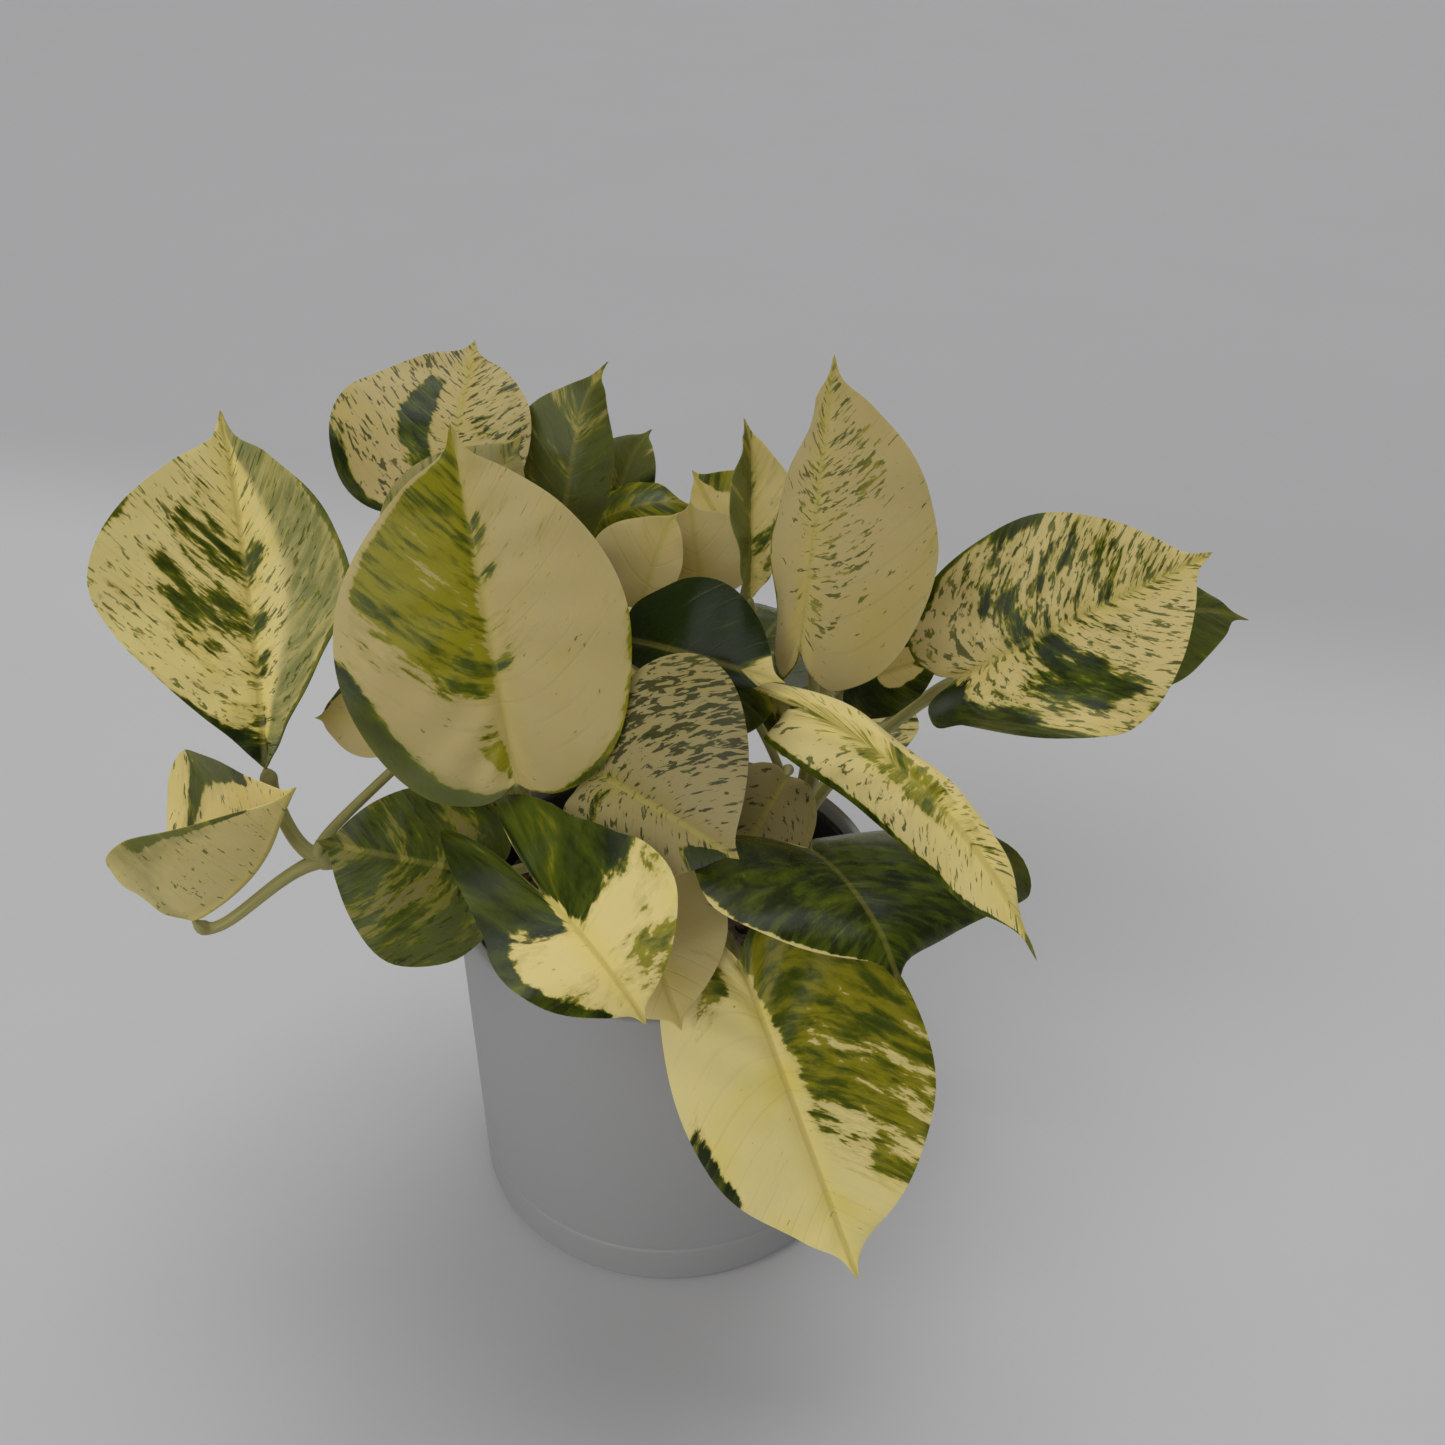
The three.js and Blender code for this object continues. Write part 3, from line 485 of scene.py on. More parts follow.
def marbled_blade_group():
    """Cream, green and silver marbling that streaks along a blade's veins, with painted light and shade on
    the cream.
    """
    known = bpy.data.node_groups.get("marbled_blade")
    if known:
        return known
    inputs = [
        ("Blade Place", "Vector", None), ("Green Share", "Float", 0.3), ("Dark Share", "Float", 0.5),
        ("Speckle Share", "Float", 0.3), ("Silver Share", "Float", 0.1), ("Cream", "Color", (1, 1, 1)),
        ("Yellow", "Color", (1, 1, 0)), ("Olive", "Color", (0.5, 0.5, 0)), ("Green", "Color", (0, 1, 0)),
        ("Deep Green", "Color", (0, 0, 0)),
        ("Silver", "Color", (0.5, 0.5, 0.5)), ("Vein Spacing", "Float", 5.0), ("Paleness", "Float", 1.0),
    ]
    outputs = [("Colour", "Color"), ("Green Mask", "Float"), ("Height", "Float")]
    tree, given, result = start_group("marbled_blade", inputs, outputs)
    place = given["Blade Place"]
    broad = noise(tree, stretched(tree, place, (0.05, 0.13, 1)), 1.0, 2.0, 0.5)
    streak = noise(tree, stretched(tree, place, (0.13, 0.42, 1), (3, 7, 2)), 1.0, 4.0, 0.62, 0.3)
    dash = noise(tree, stretched(tree, place, (0.34, 0.95, 1), (9, 1, 5)), 1.0, 2.5, 0.6, 0.4)
    cloud = noise(tree, stretched(tree, place, (0.05, 0.06, 1), (4, 2, 8)), 1.0, 2.0, 0.5)
    # how green this spot is: the painted share pushed about by streaky noise
    share = maths(tree, "MULTIPLY_ADD", given["Green Share"], 1.9, -0.45)
    push = maths(tree, "MULTIPLY_ADD", maths(tree, "SUBTRACT", broad, 0.5), 2.3, share)
    push = maths(tree, "MULTIPLY_ADD", maths(tree, "SUBTRACT", streak, 0.5), 1.7, push)
    push = maths(tree, "MULTIPLY_ADD", maths(tree, "SUBTRACT", dash, 0.5), 0.9, push)
    halo = soft_step(tree, push, 0.38, 0.52)
    core = soft_step(tree, push, 0.5, 0.68)
    # pale ground, warmer in clouds and beside the midrib, multiplied by the blade's painted light and shade
    parts = add_node(tree, "ShaderNodeSeparateXYZ", Vector=place).outputs
    off_rib = maths(tree, "ABSOLUTE", parts["X"])
    beside_rib = soft_step(tree, off_rib, 7.0, 0.5)
    warm = maths(tree, "MULTIPLY_ADD", beside_rib, 0.5, soft_step(tree, cloud, 0.5, 0.85))
    warm = maths(tree, "MULTIPLY", warm, 0.52, clamp=True)
    pale = blend_colours(tree, warm, given["Cream"], given["Yellow"])
    # painted light and shade: a grey from the blade's pale level that darkens or brightens its pale ground
    level = given["Paleness"]
    painted_shade_grey = add_node(tree, "ShaderNodeCombineColor", Red=level, Green=level, Blue=level)
    pale = blend_colours(tree, 1.0, pale, painted_shade_grey.outputs[0], "MULTIPLY")
    # greens, from yellow-green through mid green to the deepest
    deep = maths(tree, "MULTIPLY_ADD", maths(tree, "SUBTRACT", streak, 0.5), 1.9, given["Dark Share"])
    deep = maths(tree, "MULTIPLY_ADD", maths(tree, "SUBTRACT", broad, 0.5), 0.9, deep)
    leaf_green = blend_colours(tree, soft_step(tree, deep, -0.1, 0.4), given["Olive"], given["Green"])
    leaf_green = blend_colours(tree, soft_step(tree, deep, 0.3, 0.95), leaf_green, given["Deep Green"])
    stain = maths(tree, "MULTIPLY", soft_step(tree, push, 0.0, 0.46), 0.3)
    colour = blend_colours(tree, stain, pale, given["Olive"])
    between = blend_colours(tree, 0.45, given["Olive"], leaf_green)
    colour = blend_colours(tree, halo, colour, between)
    colour = blend_colours(tree, core, colour, leaf_green)
    # silver wash and fine dashes
    streaky = maths(tree, "MULTIPLY_ADD", soft_step(tree, streak, 0.3, 0.62), 0.4, 0.55)
    wash = maths(tree, "MULTIPLY", given["Silver Share"], streaky)
    colour = blend_colours(tree, wash, colour, given["Silver"])
    spotted = maths(tree, "MULTIPLY_ADD", given["Speckle Share"], 0.3, dash)
    spots = soft_step(tree, spotted, 0.76, 0.82)
    colour = blend_colours(tree, maths(tree, "MULTIPLY", spots, 0.85), colour, leaf_green)
    # side veins and the midrib
    turn = maths(tree, "MULTIPLY", parts["Y"], 2 * math.pi)
    wave = maths(tree, "SINE", maths(tree, "DIVIDE", turn, given["Vein Spacing"]))
    vein = soft_step(tree, wave, 0.86, 1.0)
    vein = maths(tree, "MULTIPLY", vein, soft_step(tree, cloud, 0.35, 0.65))
    colour = blend_colours(tree, maths(tree, "MULTIPLY", vein, 0.09), colour, given["Silver"])
    rib = soft_step(tree, off_rib, 1.1, 0.35)
    rib_colour = blend_colours(tree, 0.5, given["Yellow"], given["Silver"])
    rib_share = maths(tree, "MULTIPLY", rib, maths(tree, "MULTIPLY_ADD", core, -0.28, 0.5))
    colour = blend_colours(tree, rib_share, colour, rib_colour)
    fine = noise(tree, stretched(tree, place, (1.1, 3.2, 1)), 1.0, 2.0)
    height = maths(tree, "MULTIPLY_ADD", vein, -0.6, maths(tree, "MULTIPLY", fine, 0.35))
    height = maths(tree, "MULTIPLY_ADD", streak, 0.5, height)
    tree.links.new(colour, result["Colour"])
    tree.links.new(core, result["Green Mask"])
    tree.links.new(height, result["Height"])
    return tree


def mottle_group():
    """Cloudy unevenness with fine grain, for glaze, plastic, stalks, mix and floor."""
    known = bpy.data.node_groups.get("mottle")
    if known:
        return known
    inputs = [
        ("Place", "Vector", None), ("Cloud Scale", "Float", 20.0), ("Grain Scale", "Float", 400.0),
        ("Colour", "Color", (1, 1, 1)), ("Shade", "Color", (0.5, 0.5, 0.5)), ("Unevenness", "Float", 0.3),
    ]
    outputs = [("Colour", "Color"), ("Cloud", "Float"), ("Height", "Float")]
    tree, given, result = start_group("mottle", inputs, outputs)
    cloud = noise(tree, given["Place"], given["Cloud Scale"], 3.0)
    grain = noise(tree, given["Place"], given["Grain Scale"], 3.0, 0.6)
    spread = maths(tree, "MULTIPLY_ADD", grain, 0.35, soft_step(tree, cloud, 0.3, 0.75))
    share = maths(tree, "MULTIPLY", spread, given["Unevenness"], clamp=True)
    colour = blend_colours(tree, share, given["Colour"], given["Shade"])
    tree.links.new(colour, result["Colour"])
    tree.links.new(cloud, result["Cloud"])
    tree.links.new(maths(tree, "MULTIPLY_ADD", cloud, 0.4, grain), result["Height"])
    return tree


def start_material(name):
    """A material with an empty Principled shader; returns material, tree and shader."""
    material = bpy.data.materials.new(name)
    material.use_nodes = True
    tree = material.node_tree
    return material, tree, tree.nodes["Principled BSDF"]


def join_surface(tree, shader, colour, roughness, height, bump_strength, bump_distance):
    """Feed the shader its colour, roughness and bumped normal."""
    tree.links.new(colour, shader.inputs["Base Color"])
    if isinstance(roughness, bpy.types.NodeSocket):
        tree.links.new(roughness, shader.inputs["Roughness"])
    else:
        shader.inputs["Roughness"].default_value = roughness
    bump = add_node(tree, "ShaderNodeBump", Height=height, Strength=bump_strength, Distance=bump_distance)
    tree.links.new(bump.outputs["Normal"], shader.inputs["Normal"])


def blade_material(colours, underside):
    """Marbled blade: glossy above, paler and duller below."""
    name = "blade_underside" if underside else "blade_upper"
    material = bpy.data.materials.get(name)
    if material:
        return material
    material, tree, shader = start_material(name)
    tone = add_node(tree, "ShaderNodeSeparateColor", Color=named_value(tree, "tone", "Color")).outputs
    marbled = place_group(
        tree, marbled_blade_group(), Blade_Place=named_value(tree, "blade_place", "Vector"),
        Green_Share=tone["Red"], Dark_Share=tone["Green"], Speckle_Share=tone["Blue"],
        # pale on the mesh is the blade's painted light and shade on its cream
        Silver_Share=named_value(tree, "silver"), Paleness=named_value(tree, "pale"),
        Cream=tuple(colours.cream), Yellow=tuple(colours.yellow), Olive=tuple(colours.olive),
        Green=tuple(colours.green), Deep_Green=tuple(colours.deep_green), Silver=tuple(colours.silver),
        Vein_Spacing=4.6,
    )
    colour = marbled["Colour"]
    if underside:
        colour = blend_colours(tree, 0.18, colour, (*colours.silver, 1))
    base_rough, gloss = (0.55, 0.0) if underside else (0.42, -0.14)
    roughness = maths(tree, "MULTIPLY_ADD", marbled["Green Mask"], gloss, base_rough)
    place = named_value(tree, "blade_place", "Vector")
    lowered = maths(tree, "SUBTRACT", roughness, 0.07)
    roughness = maths(tree, "MULTIPLY_ADD", noise(tree, place, 0.35), 0.14, lowered)
    join_surface(tree, shader, colour, roughness, marbled["Height"], 0.5 if underside else 0.35, 0.25 * MM)
    shader.inputs["Subsurface Weight"].default_value = 0.3
    shader.inputs["Subsurface Radius"].default_value = (1.0, 0.85, 0.2)
    shader.inputs["Subsurface Scale"].default_value = 1.6 * MM
    shader.inputs["Specular IOR Level"].default_value = 0.22
    return material


def stalk_material(colours):
    """Pale olive stalks with streaks along them, browner on the old stem."""
    material = bpy.data.materials.get("stalk_skin")
    if material:
        return material
    material, tree, shader = start_material("stalk_skin")
    place = named_value(tree, "rod_place", "Vector")
    streaked = stretched(tree, place, (0.9, 0.07, 1))
    skin = place_group(
        tree, mottle_group(), Place=streaked, Cloud_Scale=1.0, Grain_Scale=3.5,
        Colour=tuple(colours.stalk), Shade=(0.27, 0.26, 0.06), Unevenness=0.55,
    )
    bark = named_value(tree, "bark")
    colour = blend_colours(tree, bark, skin["Colour"], (0.13, 0.085, 0.03, 1))
    roughness = maths(tree, "MULTIPLY_ADD", skin["Cloud"], 0.2, 0.38)
    join_surface(tree, shader, colour, roughness, skin["Height"], 0.4, 0.25 * MM)
    shader.inputs["Subsurface Weight"].default_value = 0.1
    shader.inputs["Subsurface Scale"].default_value = 1.5 * MM
    return material


def plain_material(name, colour, shade, unevenness, cloud, grain, roughness, bump):
    """A mottled finish placed by the object's own coordinates."""
    material = bpy.data.materials.get(name)
    if material:
        return material
    material, tree, shader = start_material(name)
    place = add_node(tree, "ShaderNodeTexCoord").outputs["Object"]
    skin = place_group(
        tree, mottle_group(), Place=place, Cloud_Scale=cloud, Grain_Scale=grain,
        Colour=tuple(colour), Shade=shade, Unevenness=unevenness,
    )
    rough = maths(tree, "MULTIPLY_ADD", skin["Cloud"], 0.16, roughness - 0.08)
    join_surface(tree, shader, skin["Colour"], rough, skin["Height"], bump[0], bump[1])
    return material


def floor_material(colours):
    """Plain floor, one side of it painted a tone darker in a wide soft change as painted shade."""
    material = bpy.data.materials.get("plain_floor")
    if material:
        return material
    material, tree, shader = start_material("plain_floor")
    place = add_node(tree, "ShaderNodeTexCoord").outputs["Object"]
    parts = add_node(tree, "ShaderNodeSeparateXYZ", Vector=place).outputs
    # painted shade: the back side of the floor blends to a darker tone
    across = maths(tree, "MULTIPLY_ADD", parts["X"], 0.298, parts["Y"])
    far = soft_step(tree, across, 0.30, 0.47)
    tone = blend_colours(tree, far, tuple(colours.floor) + (1,), (0.56, 0.56, 0.57, 1))
    skin = place_group(
        tree, mottle_group(), Place=place, Cloud_Scale=6.0, Grain_Scale=900.0, Colour=tone,
        Shade=(0.6, 0.6, 0.61), Unevenness=0.15,
    )
    join_surface(tree, shader, skin["Colour"], 0.85, skin["Height"], 0.1, 0.2 * MM)
    return material


# ---------------------------------------------------------------- mesh building


def new_piece(name, mesh, materials, nodes):
    """Put a mesh in the scene as a piece of the plant that stands for its frame nodes."""
    for material in materials:
        mesh.materials.append(material)
    piece = bpy.data.objects.new(name, mesh)
    bpy.context.scene.collection.objects.link(piece)
    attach(piece, BODY)
    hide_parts(*nodes)
    return piece


def mesh_from(name, points, faces, smooth_angle=50.0):
    """A mesh from points in metres and faces, smooth except at sharp corners."""
    mesh = bpy.data.meshes.new(name)
    mesh.from_pydata([tuple(p) for p in points], [], faces)
    mesh.validate()
    mesh.polygons.foreach_set("use_smooth", [True] * len(mesh.polygons))
    mesh.set_sharp_from_angle(angle=math.radians(smooth_angle))
    mesh.update()
    return mesh


def lathe(profile, segments, ripple=None):
    """Points and faces of a closed profile turned round the upright axis."""
    points, faces, rings = [], [], []
    for row, (radius, height) in enumerate(profile):
        if radius < 1e-7:
            rings.append([len(points)])
            points.append((0.0, 0.0, height))
            continue
        ring = []
        for i in range(segments):
            turn = 2 * math.pi * i / segments
            out, up = ripple(row, turn, radius, height) if ripple else (radius, height)
            ring.append(len(points))
            points.append((out * math.cos(turn), out * math.sin(turn), up))
        rings.append(ring)
    for low, high in zip(rings, rings[1:]):
        for i in range(segments):
            j = (i + 1) % segments
            if len(low) == 1:
                faces.append((low[0], high[j], high[i]))
            elif len(high) == 1:
                faces.append((low[i], low[j], high[0]))
            else:
                faces.append((low[i], low[j], high[j], high[i]))
    return points, faces


def rounded(profile, radius, steps=4):
    """The profile with each corner inside it turned into a small arc."""
    made = [profile[0]]
    for before, here, after in zip(profile, profile[1:], profile[2:]):
        here_point = Vector((*here, 0))
        back = Vector((*before, 0)) - here_point
        onward = Vector((*after, 0)) - here_point
        reach = min(radius, back.length * 0.45, onward.length * 0.45)
        start = here_point + back.normalized() * reach
        end = here_point + onward.normalized() * reach
        for k in range(steps + 1):
            t = k / steps
            spot = start.lerp(here_point, t).lerp(here_point.lerp(end, t), t)
            made.append((spot.x, spot.y))
    made.append(profile[-1])
    return made


def smooth_curve(points, count):
    """Points evenly spread in parameter on a Catmull-Rom curve through the given ones."""
    points = np.asarray(points, float)
    ends = np.vstack([2 * points[0] - points[1], points, 2 * points[-1] - points[-2]])
    t = np.linspace(0, len(points) - 1, count)
    i = np.minimum(t.astype(int), len(points) - 2)
    u = (t - i)[:, None]
    a, b, c, d = ends[i], ends[i + 1], ends[i + 2], ends[i + 3]
    return 0.5 * (2 * b + (c - a) * u + (2 * a - 5 * b + 4 * c - d) * u**2 + (3 * b - a - 3 * c + d) * u**3)


def unit(vector):
    """The vector's direction, with length 1."""
    return np.asarray(vector, float) / np.linalg.norm(vector)


# ---------------------------------------------------------------- blades


def leaf_axes(leaf):
    """Unit directions of a leaf: along the midrib, up from its face, to its right."""
    along = unit(leaf["reach"])
    face = np.asarray(leaf["face"], float)
    up = unit(face - along * face.dot(along))
    return along, up, np.cross(along, up)


def leaf_joint(leaf):
    """Where the blade meets its stalk, in millimetres."""
    x, y, z = leaf["at"]
    return np.array([x * SPREAD, y * SPREAD, RIM_HEIGHT / MM + z])


def lobe_bend(angle, reach, behind):
    """Along, up and tilt of a basal lobe that bends up at a distance behind the joint."""
    rate = np.where(np.abs(angle) < 1e-4, 1e-4, angle) / reach
    bent = np.clip(behind, 0, reach)
    straight = np.maximum(behind, 0) - bent
    tilt = rate * bent
    back = np.sin(tilt) / rate + straight * np.cos(tilt)
    raised = (1 - np.cos(tilt)) / rate + straight * np.sin(tilt)
    return np.where(behind > 0, -back, -behind), raised, tilt


def window(value, low, high, soft):
    """1 between low and high, fading over the soft width on both sides."""
    def ease(t):
        t = np.clip(t, 0, 1)
        return t * t * (3 - 2 * t)
    return ease((value - low) / soft + 0.5) * ease((high - value) / soft + 0.5)


def marbling_values(name, root, across):
    """The four marbling shares at each point of a blade; root is where its vein leaves the midrib."""
    marbling = MARBLING[name]
    shares = {key: np.full(root.shape, float(marbling[key])) for key in ("green", "dark", "speck", "silver")}
    for share, value, low, high, left, right in marbling["patches"]:
        inside = window(root, low, high, 0.14) * window(across, left, right, 0.16)
        shares[share] += (value - shares[share]) * inside
    return shares


def blade_sheets(name, leaf, sizes, seed):
    """Upper and lower sheet of a blade with its marbling, as arrays of rows by columns."""
    random = np.random.default_rng(seed)
    length = np.linalg.norm(leaf["reach"])
    rows = int(np.clip(length * 0.95, 40, 84))
    half_columns = 20 if length > 45 else 14
    lobe = leaf["lobe"]
    heart = min(1, lobe)
    deep = HEART.copy()
    deep[:, 0] = np.where(deep[:, 0] < 0, deep[:, 0] * max(1, lobe), deep[:, 0])
    outline = smooth_curve(FUNNEL * (1 - heart) + deep * heart, rows)
    x, y = outline[:, :1], np.maximum(outline[:, 1:], 0)
    y[0], y[-1] = 0, 0
    rib = np.linspace(0, 1, rows)[:, None]
    root = rib**1.15
    spread = np.linspace(-1, 1, 2 * half_columns + 1)
    across = (np.sign(spread) * np.abs(spread) ** 1.35)[None, :]
    share = np.abs(across)
    side = (across >= 0).astype(int)
    pick = lambda key: np.asarray(leaf.get(key, (0, 0)), float)[side]
    width = pick("half") * y
    here = root + (x - root) * share
    along, up, right = leaf_axes(leaf)
    arch = leaf["bow"] * 4 * here * (1 - here)
    slope = leaf["bow"] * 4 * (1 - 2 * here) / length
    tip = np.maximum(0, (here - 0.72) / 0.28) ** 2
    sideways = leaf.get("sway", 0) * 4 * here * (1 - here) + leaf["tip"][0] * tip
    onward, raised, bent_by = lobe_bend(np.radians(pick("rise")), leaf.get("bend", 10), -here * length)
    level = up - slope[..., None] * along
    lift = level / np.linalg.norm(level, axis=-1, keepdims=True) * np.cos(bent_by)[..., None]
    lift = lift + along * np.sin(bent_by)[..., None]
    lift /= np.linalg.norm(lift, axis=-1, keepdims=True)
    base = np.maximum(0, 1 - np.maximum(0, here) / 0.45)
    turn = np.radians(pick("curl") + pick("furl") * base)
    fold = np.radians(pick("fold")) + 0 * turn
    steady = np.abs(turn) < 1e-4
    safe = np.where(steady, 1, turn)
    swing = fold + turn * share
    out = np.where(steady, np.cos(fold) * share, (np.sin(swing) - np.sin(fold)) / safe) * width
    high = np.where(steady, np.sin(fold) * share, (np.cos(fold) - np.cos(swing)) / safe) * width
    sign = np.where(across < 0, -1.0, 1.0)
    tilt = np.where(share * width == 0, 0, swing)
    normal = lift * np.cos(tilt)[..., None] - right * (sign * np.sin(tilt))[..., None]
    point = leaf_joint(leaf) + along * onward[..., None]
    point = point + up * (arch + raised + leaf["tip"][1] * tip)[..., None]
    point = point + right * (sideways + sign * out)[..., None] + lift * high[..., None]
    # ripples along the margin and soft hollows between the side veins
    small = min(1.0, length / 75)
    phase = random.uniform(0, 2 * math.pi, 6)
    waves = np.sin(2 * math.pi * 2.6 * rib + phase[0] + phase[1] * side)
    waves = waves + 0.5 * np.sin(2 * math.pi * 5.3 * rib + phase[2] + phase[3] * side)
    ripple = sizes.margin_wave / MM * small * waves * share**2.2 * np.minimum(1, y * 2.5)
    quilt = 0.25 * small * np.sin(2 * math.pi * root * length / 9.2 + phase[4]) * share * (1 - share) * 4
    distance = share * width
    groove = sizes.groove_depth / MM * small * np.exp(-((distance / 1.6) ** 2)) * (1 - 0.6 * root)
    ridge = sizes.rib_height / MM * small * np.exp(-((distance / 1.3) ** 2)) * (1 - 0.85 * root)
    thick = sizes.blade_thickness / MM * (1 - 0.5 * np.clip((share - 0.8) / 0.2, 0, 1) ** 2) / 2
    closing = np.minimum(1, np.minimum(rib, 1 - rib) * 14)
    upper = point + normal * (ripple + quilt - groove * closing + thick)[..., None]
    lower = point + normal * (ripple + quilt - ridge * closing - thick)[..., None]
    vein = root - MARBLING[name].get("lean", VEIN_LEAN) * distance / length
    marks = marbling_values(name, vein, across + 0 * root)
    own_noise = np.full(distance.shape, seed * BLADE_SHIFT)
    marks["place"] = np.stack([sign * distance, vein * length, own_noise], axis=-1)
    return upper, lower, marks


def blade_mesh(name, leaf, sizes, seed):
    """The closed mesh of one blade, with its marbling and its painted light and shade stored on its points.
    """
    upper, lower, marks = blade_sheets(name, leaf, sizes, seed)
    rows, columns = upper.shape[:2]
    points = np.vstack([upper.reshape(-1, 3), lower.reshape(-1, 3)]) * MM
    sheet = rows * columns
    grid = np.arange(sheet).reshape(rows, columns)
    a, b = grid[:-1, :-1].ravel(), grid[:-1, 1:].ravel()
    c, d = grid[1:, :-1].ravel(), grid[1:, 1:].ravel()
    top = np.stack([a, b, d, c], axis=1)
    bottom = np.stack([a, c, d, b], axis=1) + sheet
    left, right = grid[:, 0], grid[:, -1]
    left_rim = np.stack([left[:-1], left[1:], left[1:] + sheet, left[:-1] + sheet], axis=1)
    right_rim = np.stack([right[:-1], right[:-1] + sheet, right[1:] + sheet, right[1:]], axis=1)
    faces = np.vstack([top, left_rim, right_rim, bottom])
    mesh = bpy.data.meshes.new(name)
    mesh.from_pydata(points.tolist(), [], faces.tolist())
    under = len(top) + len(left_rim) + len(right_rim)
    mesh.polygons.foreach_set("material_index", [0] * under + [1] * len(bottom))
    place = mesh.attributes.new("blade_place", "FLOAT_VECTOR", "POINT")
    place.data.foreach_set("vector", np.tile(marks["place"].reshape(-1, 3), (2, 1)).ravel())
    tone = np.stack([marks[key].ravel() for key in ("green", "dark", "speck")] + [np.ones(sheet)], axis=1)
    stored_tone = mesh.attributes.new("tone", "FLOAT_COLOR", "POINT")
    stored_tone.data.foreach_set("color", np.tile(tone, (2, 1)).ravel())
    silver = mesh.attributes.new("silver", "FLOAT", "POINT")
    silver.data.foreach_set("value", np.tile(marks["silver"].ravel(), 2))
    # pale: the blade's painted light and shade on its cream, stored on both sheets
    pale = mesh.attributes.new("pale", "FLOAT", "POINT")
    pale.data.foreach_set("value", np.full(2 * sheet, MARBLING[name].get("pale", 0.95)))
    work = bmesh.new()
    work.from_mesh(mesh)
    bmesh.ops.remove_doubles(work, verts=work.verts, dist=2e-6)
    bmesh.ops.dissolve_degenerate(work, edges=work.edges, dist=1e-6)
    for face in work.faces:
        face.smooth = True
    work.to_mesh(mesh)
    work.free()
    mesh.set_sharp_from_angle(angle=math.radians(60))
    mesh.update()
    return mesh


# ---------------------------------------------------------------- stems and stalks


class RodBuilder:
    """Collects round rods, their streak places and their bark shares into one mesh."""

    def __init__(self):
        self.points, self.faces, self.place, self.bark = [], [], [], []

    def rod(self, path, radii, bark, seed, channel=0.0, sides=16):
        """A closed rod along a path with rounded ends."""
        path, radii, bark = (np.asarray(v, float) for v in (path, radii, bark))
        tangents = np.gradient(path, axis=0)
        tangents /= np.linalg.norm(tangents, axis=1, keepdims=True)
        ends = [math.sin(k * math.pi / 10) for k in range(5)]
        caps = [1 - math.cos(k * math.pi / 10) for k in range(5)]
        head = [(path[0] - tangents[0] * radii[0] * (1 - c), s, 0) for s, c in zip(ends, caps)]
        tail = [(path[-1] + tangents[-1] * radii[-1] * (1 - c), s, -1) for s, c in zip(ends, caps)][::-1]
        rings = head + [(path[i], 1.0, i) for i in range(len(path))] + tail
        travelled = np.concatenate([[0], np.cumsum(np.linalg.norm(np.diff(path, axis=0), axis=1))])
        side = np.cross(tangents[0], (0.0, 0.0, 1.0))
        if np.linalg.norm(side) < 0.1:
            side = np.cross(tangents[0], (0.0, 1.0, 0.0))
        first = len(self.points)
        for centre, shrink, i in rings:
            tangent = tangents[i]
            side = unit(side - tangent * side.dot(tangent))
            top = np.cross(side, tangent)
            for j in range(sides):
                turn = 2 * math.pi * j / sides
                dent = 1 - channel * math.exp(-(((turn - math.pi / 2) / 0.55) ** 2))
                radius = radii[i] * max(shrink, 0.04) * dent
                self.points.append(centre + (side * math.cos(turn) + top * math.sin(turn)) * radius)
                self.place.append((2.5 * math.cos(turn), travelled[i], seed + 2.5 * math.sin(turn)))
                self.bark.append(bark[i])
        for k in range(len(rings) - 1):
            for j in range(sides):
                low = first + k * sides
                nxt = (j + 1) % sides
                self.faces.append((low + j, low + nxt, low + sides + nxt, low + sides + j))
        last = first + (len(rings) - 1) * sides
        self.faces.append(tuple(first + j for j in range(sides))[::-1])
        self.faces.append(tuple(last + j for j in range(sides)))

    def mesh(self, name):
        """The collected rods as one mesh."""
        mesh = mesh_from(name, np.array(self.points) * MM, self.faces, 70)
        place = mesh.attributes.new("rod_place", "FLOAT_VECTOR", "POINT")
        place.data.foreach_set("vector", np.array(self.place).ravel())
        mesh.attributes.new("bark", "FLOAT", "POINT").data.foreach_set("value", np.array(self.bark))
        work = bmesh.new()
        work.from_mesh(mesh)
        bmesh.ops.recalc_face_normals(work, faces=work.faces)
        work.to_mesh(mesh)
        work.free()
        return mesh


def stalk_path(start, leave, leaf, count=30):
    """Curve of a stalk from its stem to the underside of its blade."""
    along, up, right = leaf_axes(leaf)
    onward, upward, sideways = leaf.get("arrive", (0.5, 0.6, 0))
    arrive = unit(along * onward + up * upward + right * sideways)
    end = leaf_joint(leaf) - arrive * 0.9
    reach = np.linalg.norm(end - start)
    first, second = start + leave * reach * 0.4, end - arrive * reach * 0.35
    t = np.linspace(0, 1, count)[:, None]
    return (1 - t) ** 3 * start + 3 * (1 - t) ** 2 * t * first + 3 * (1 - t) * t**2 * second + t**3 * end


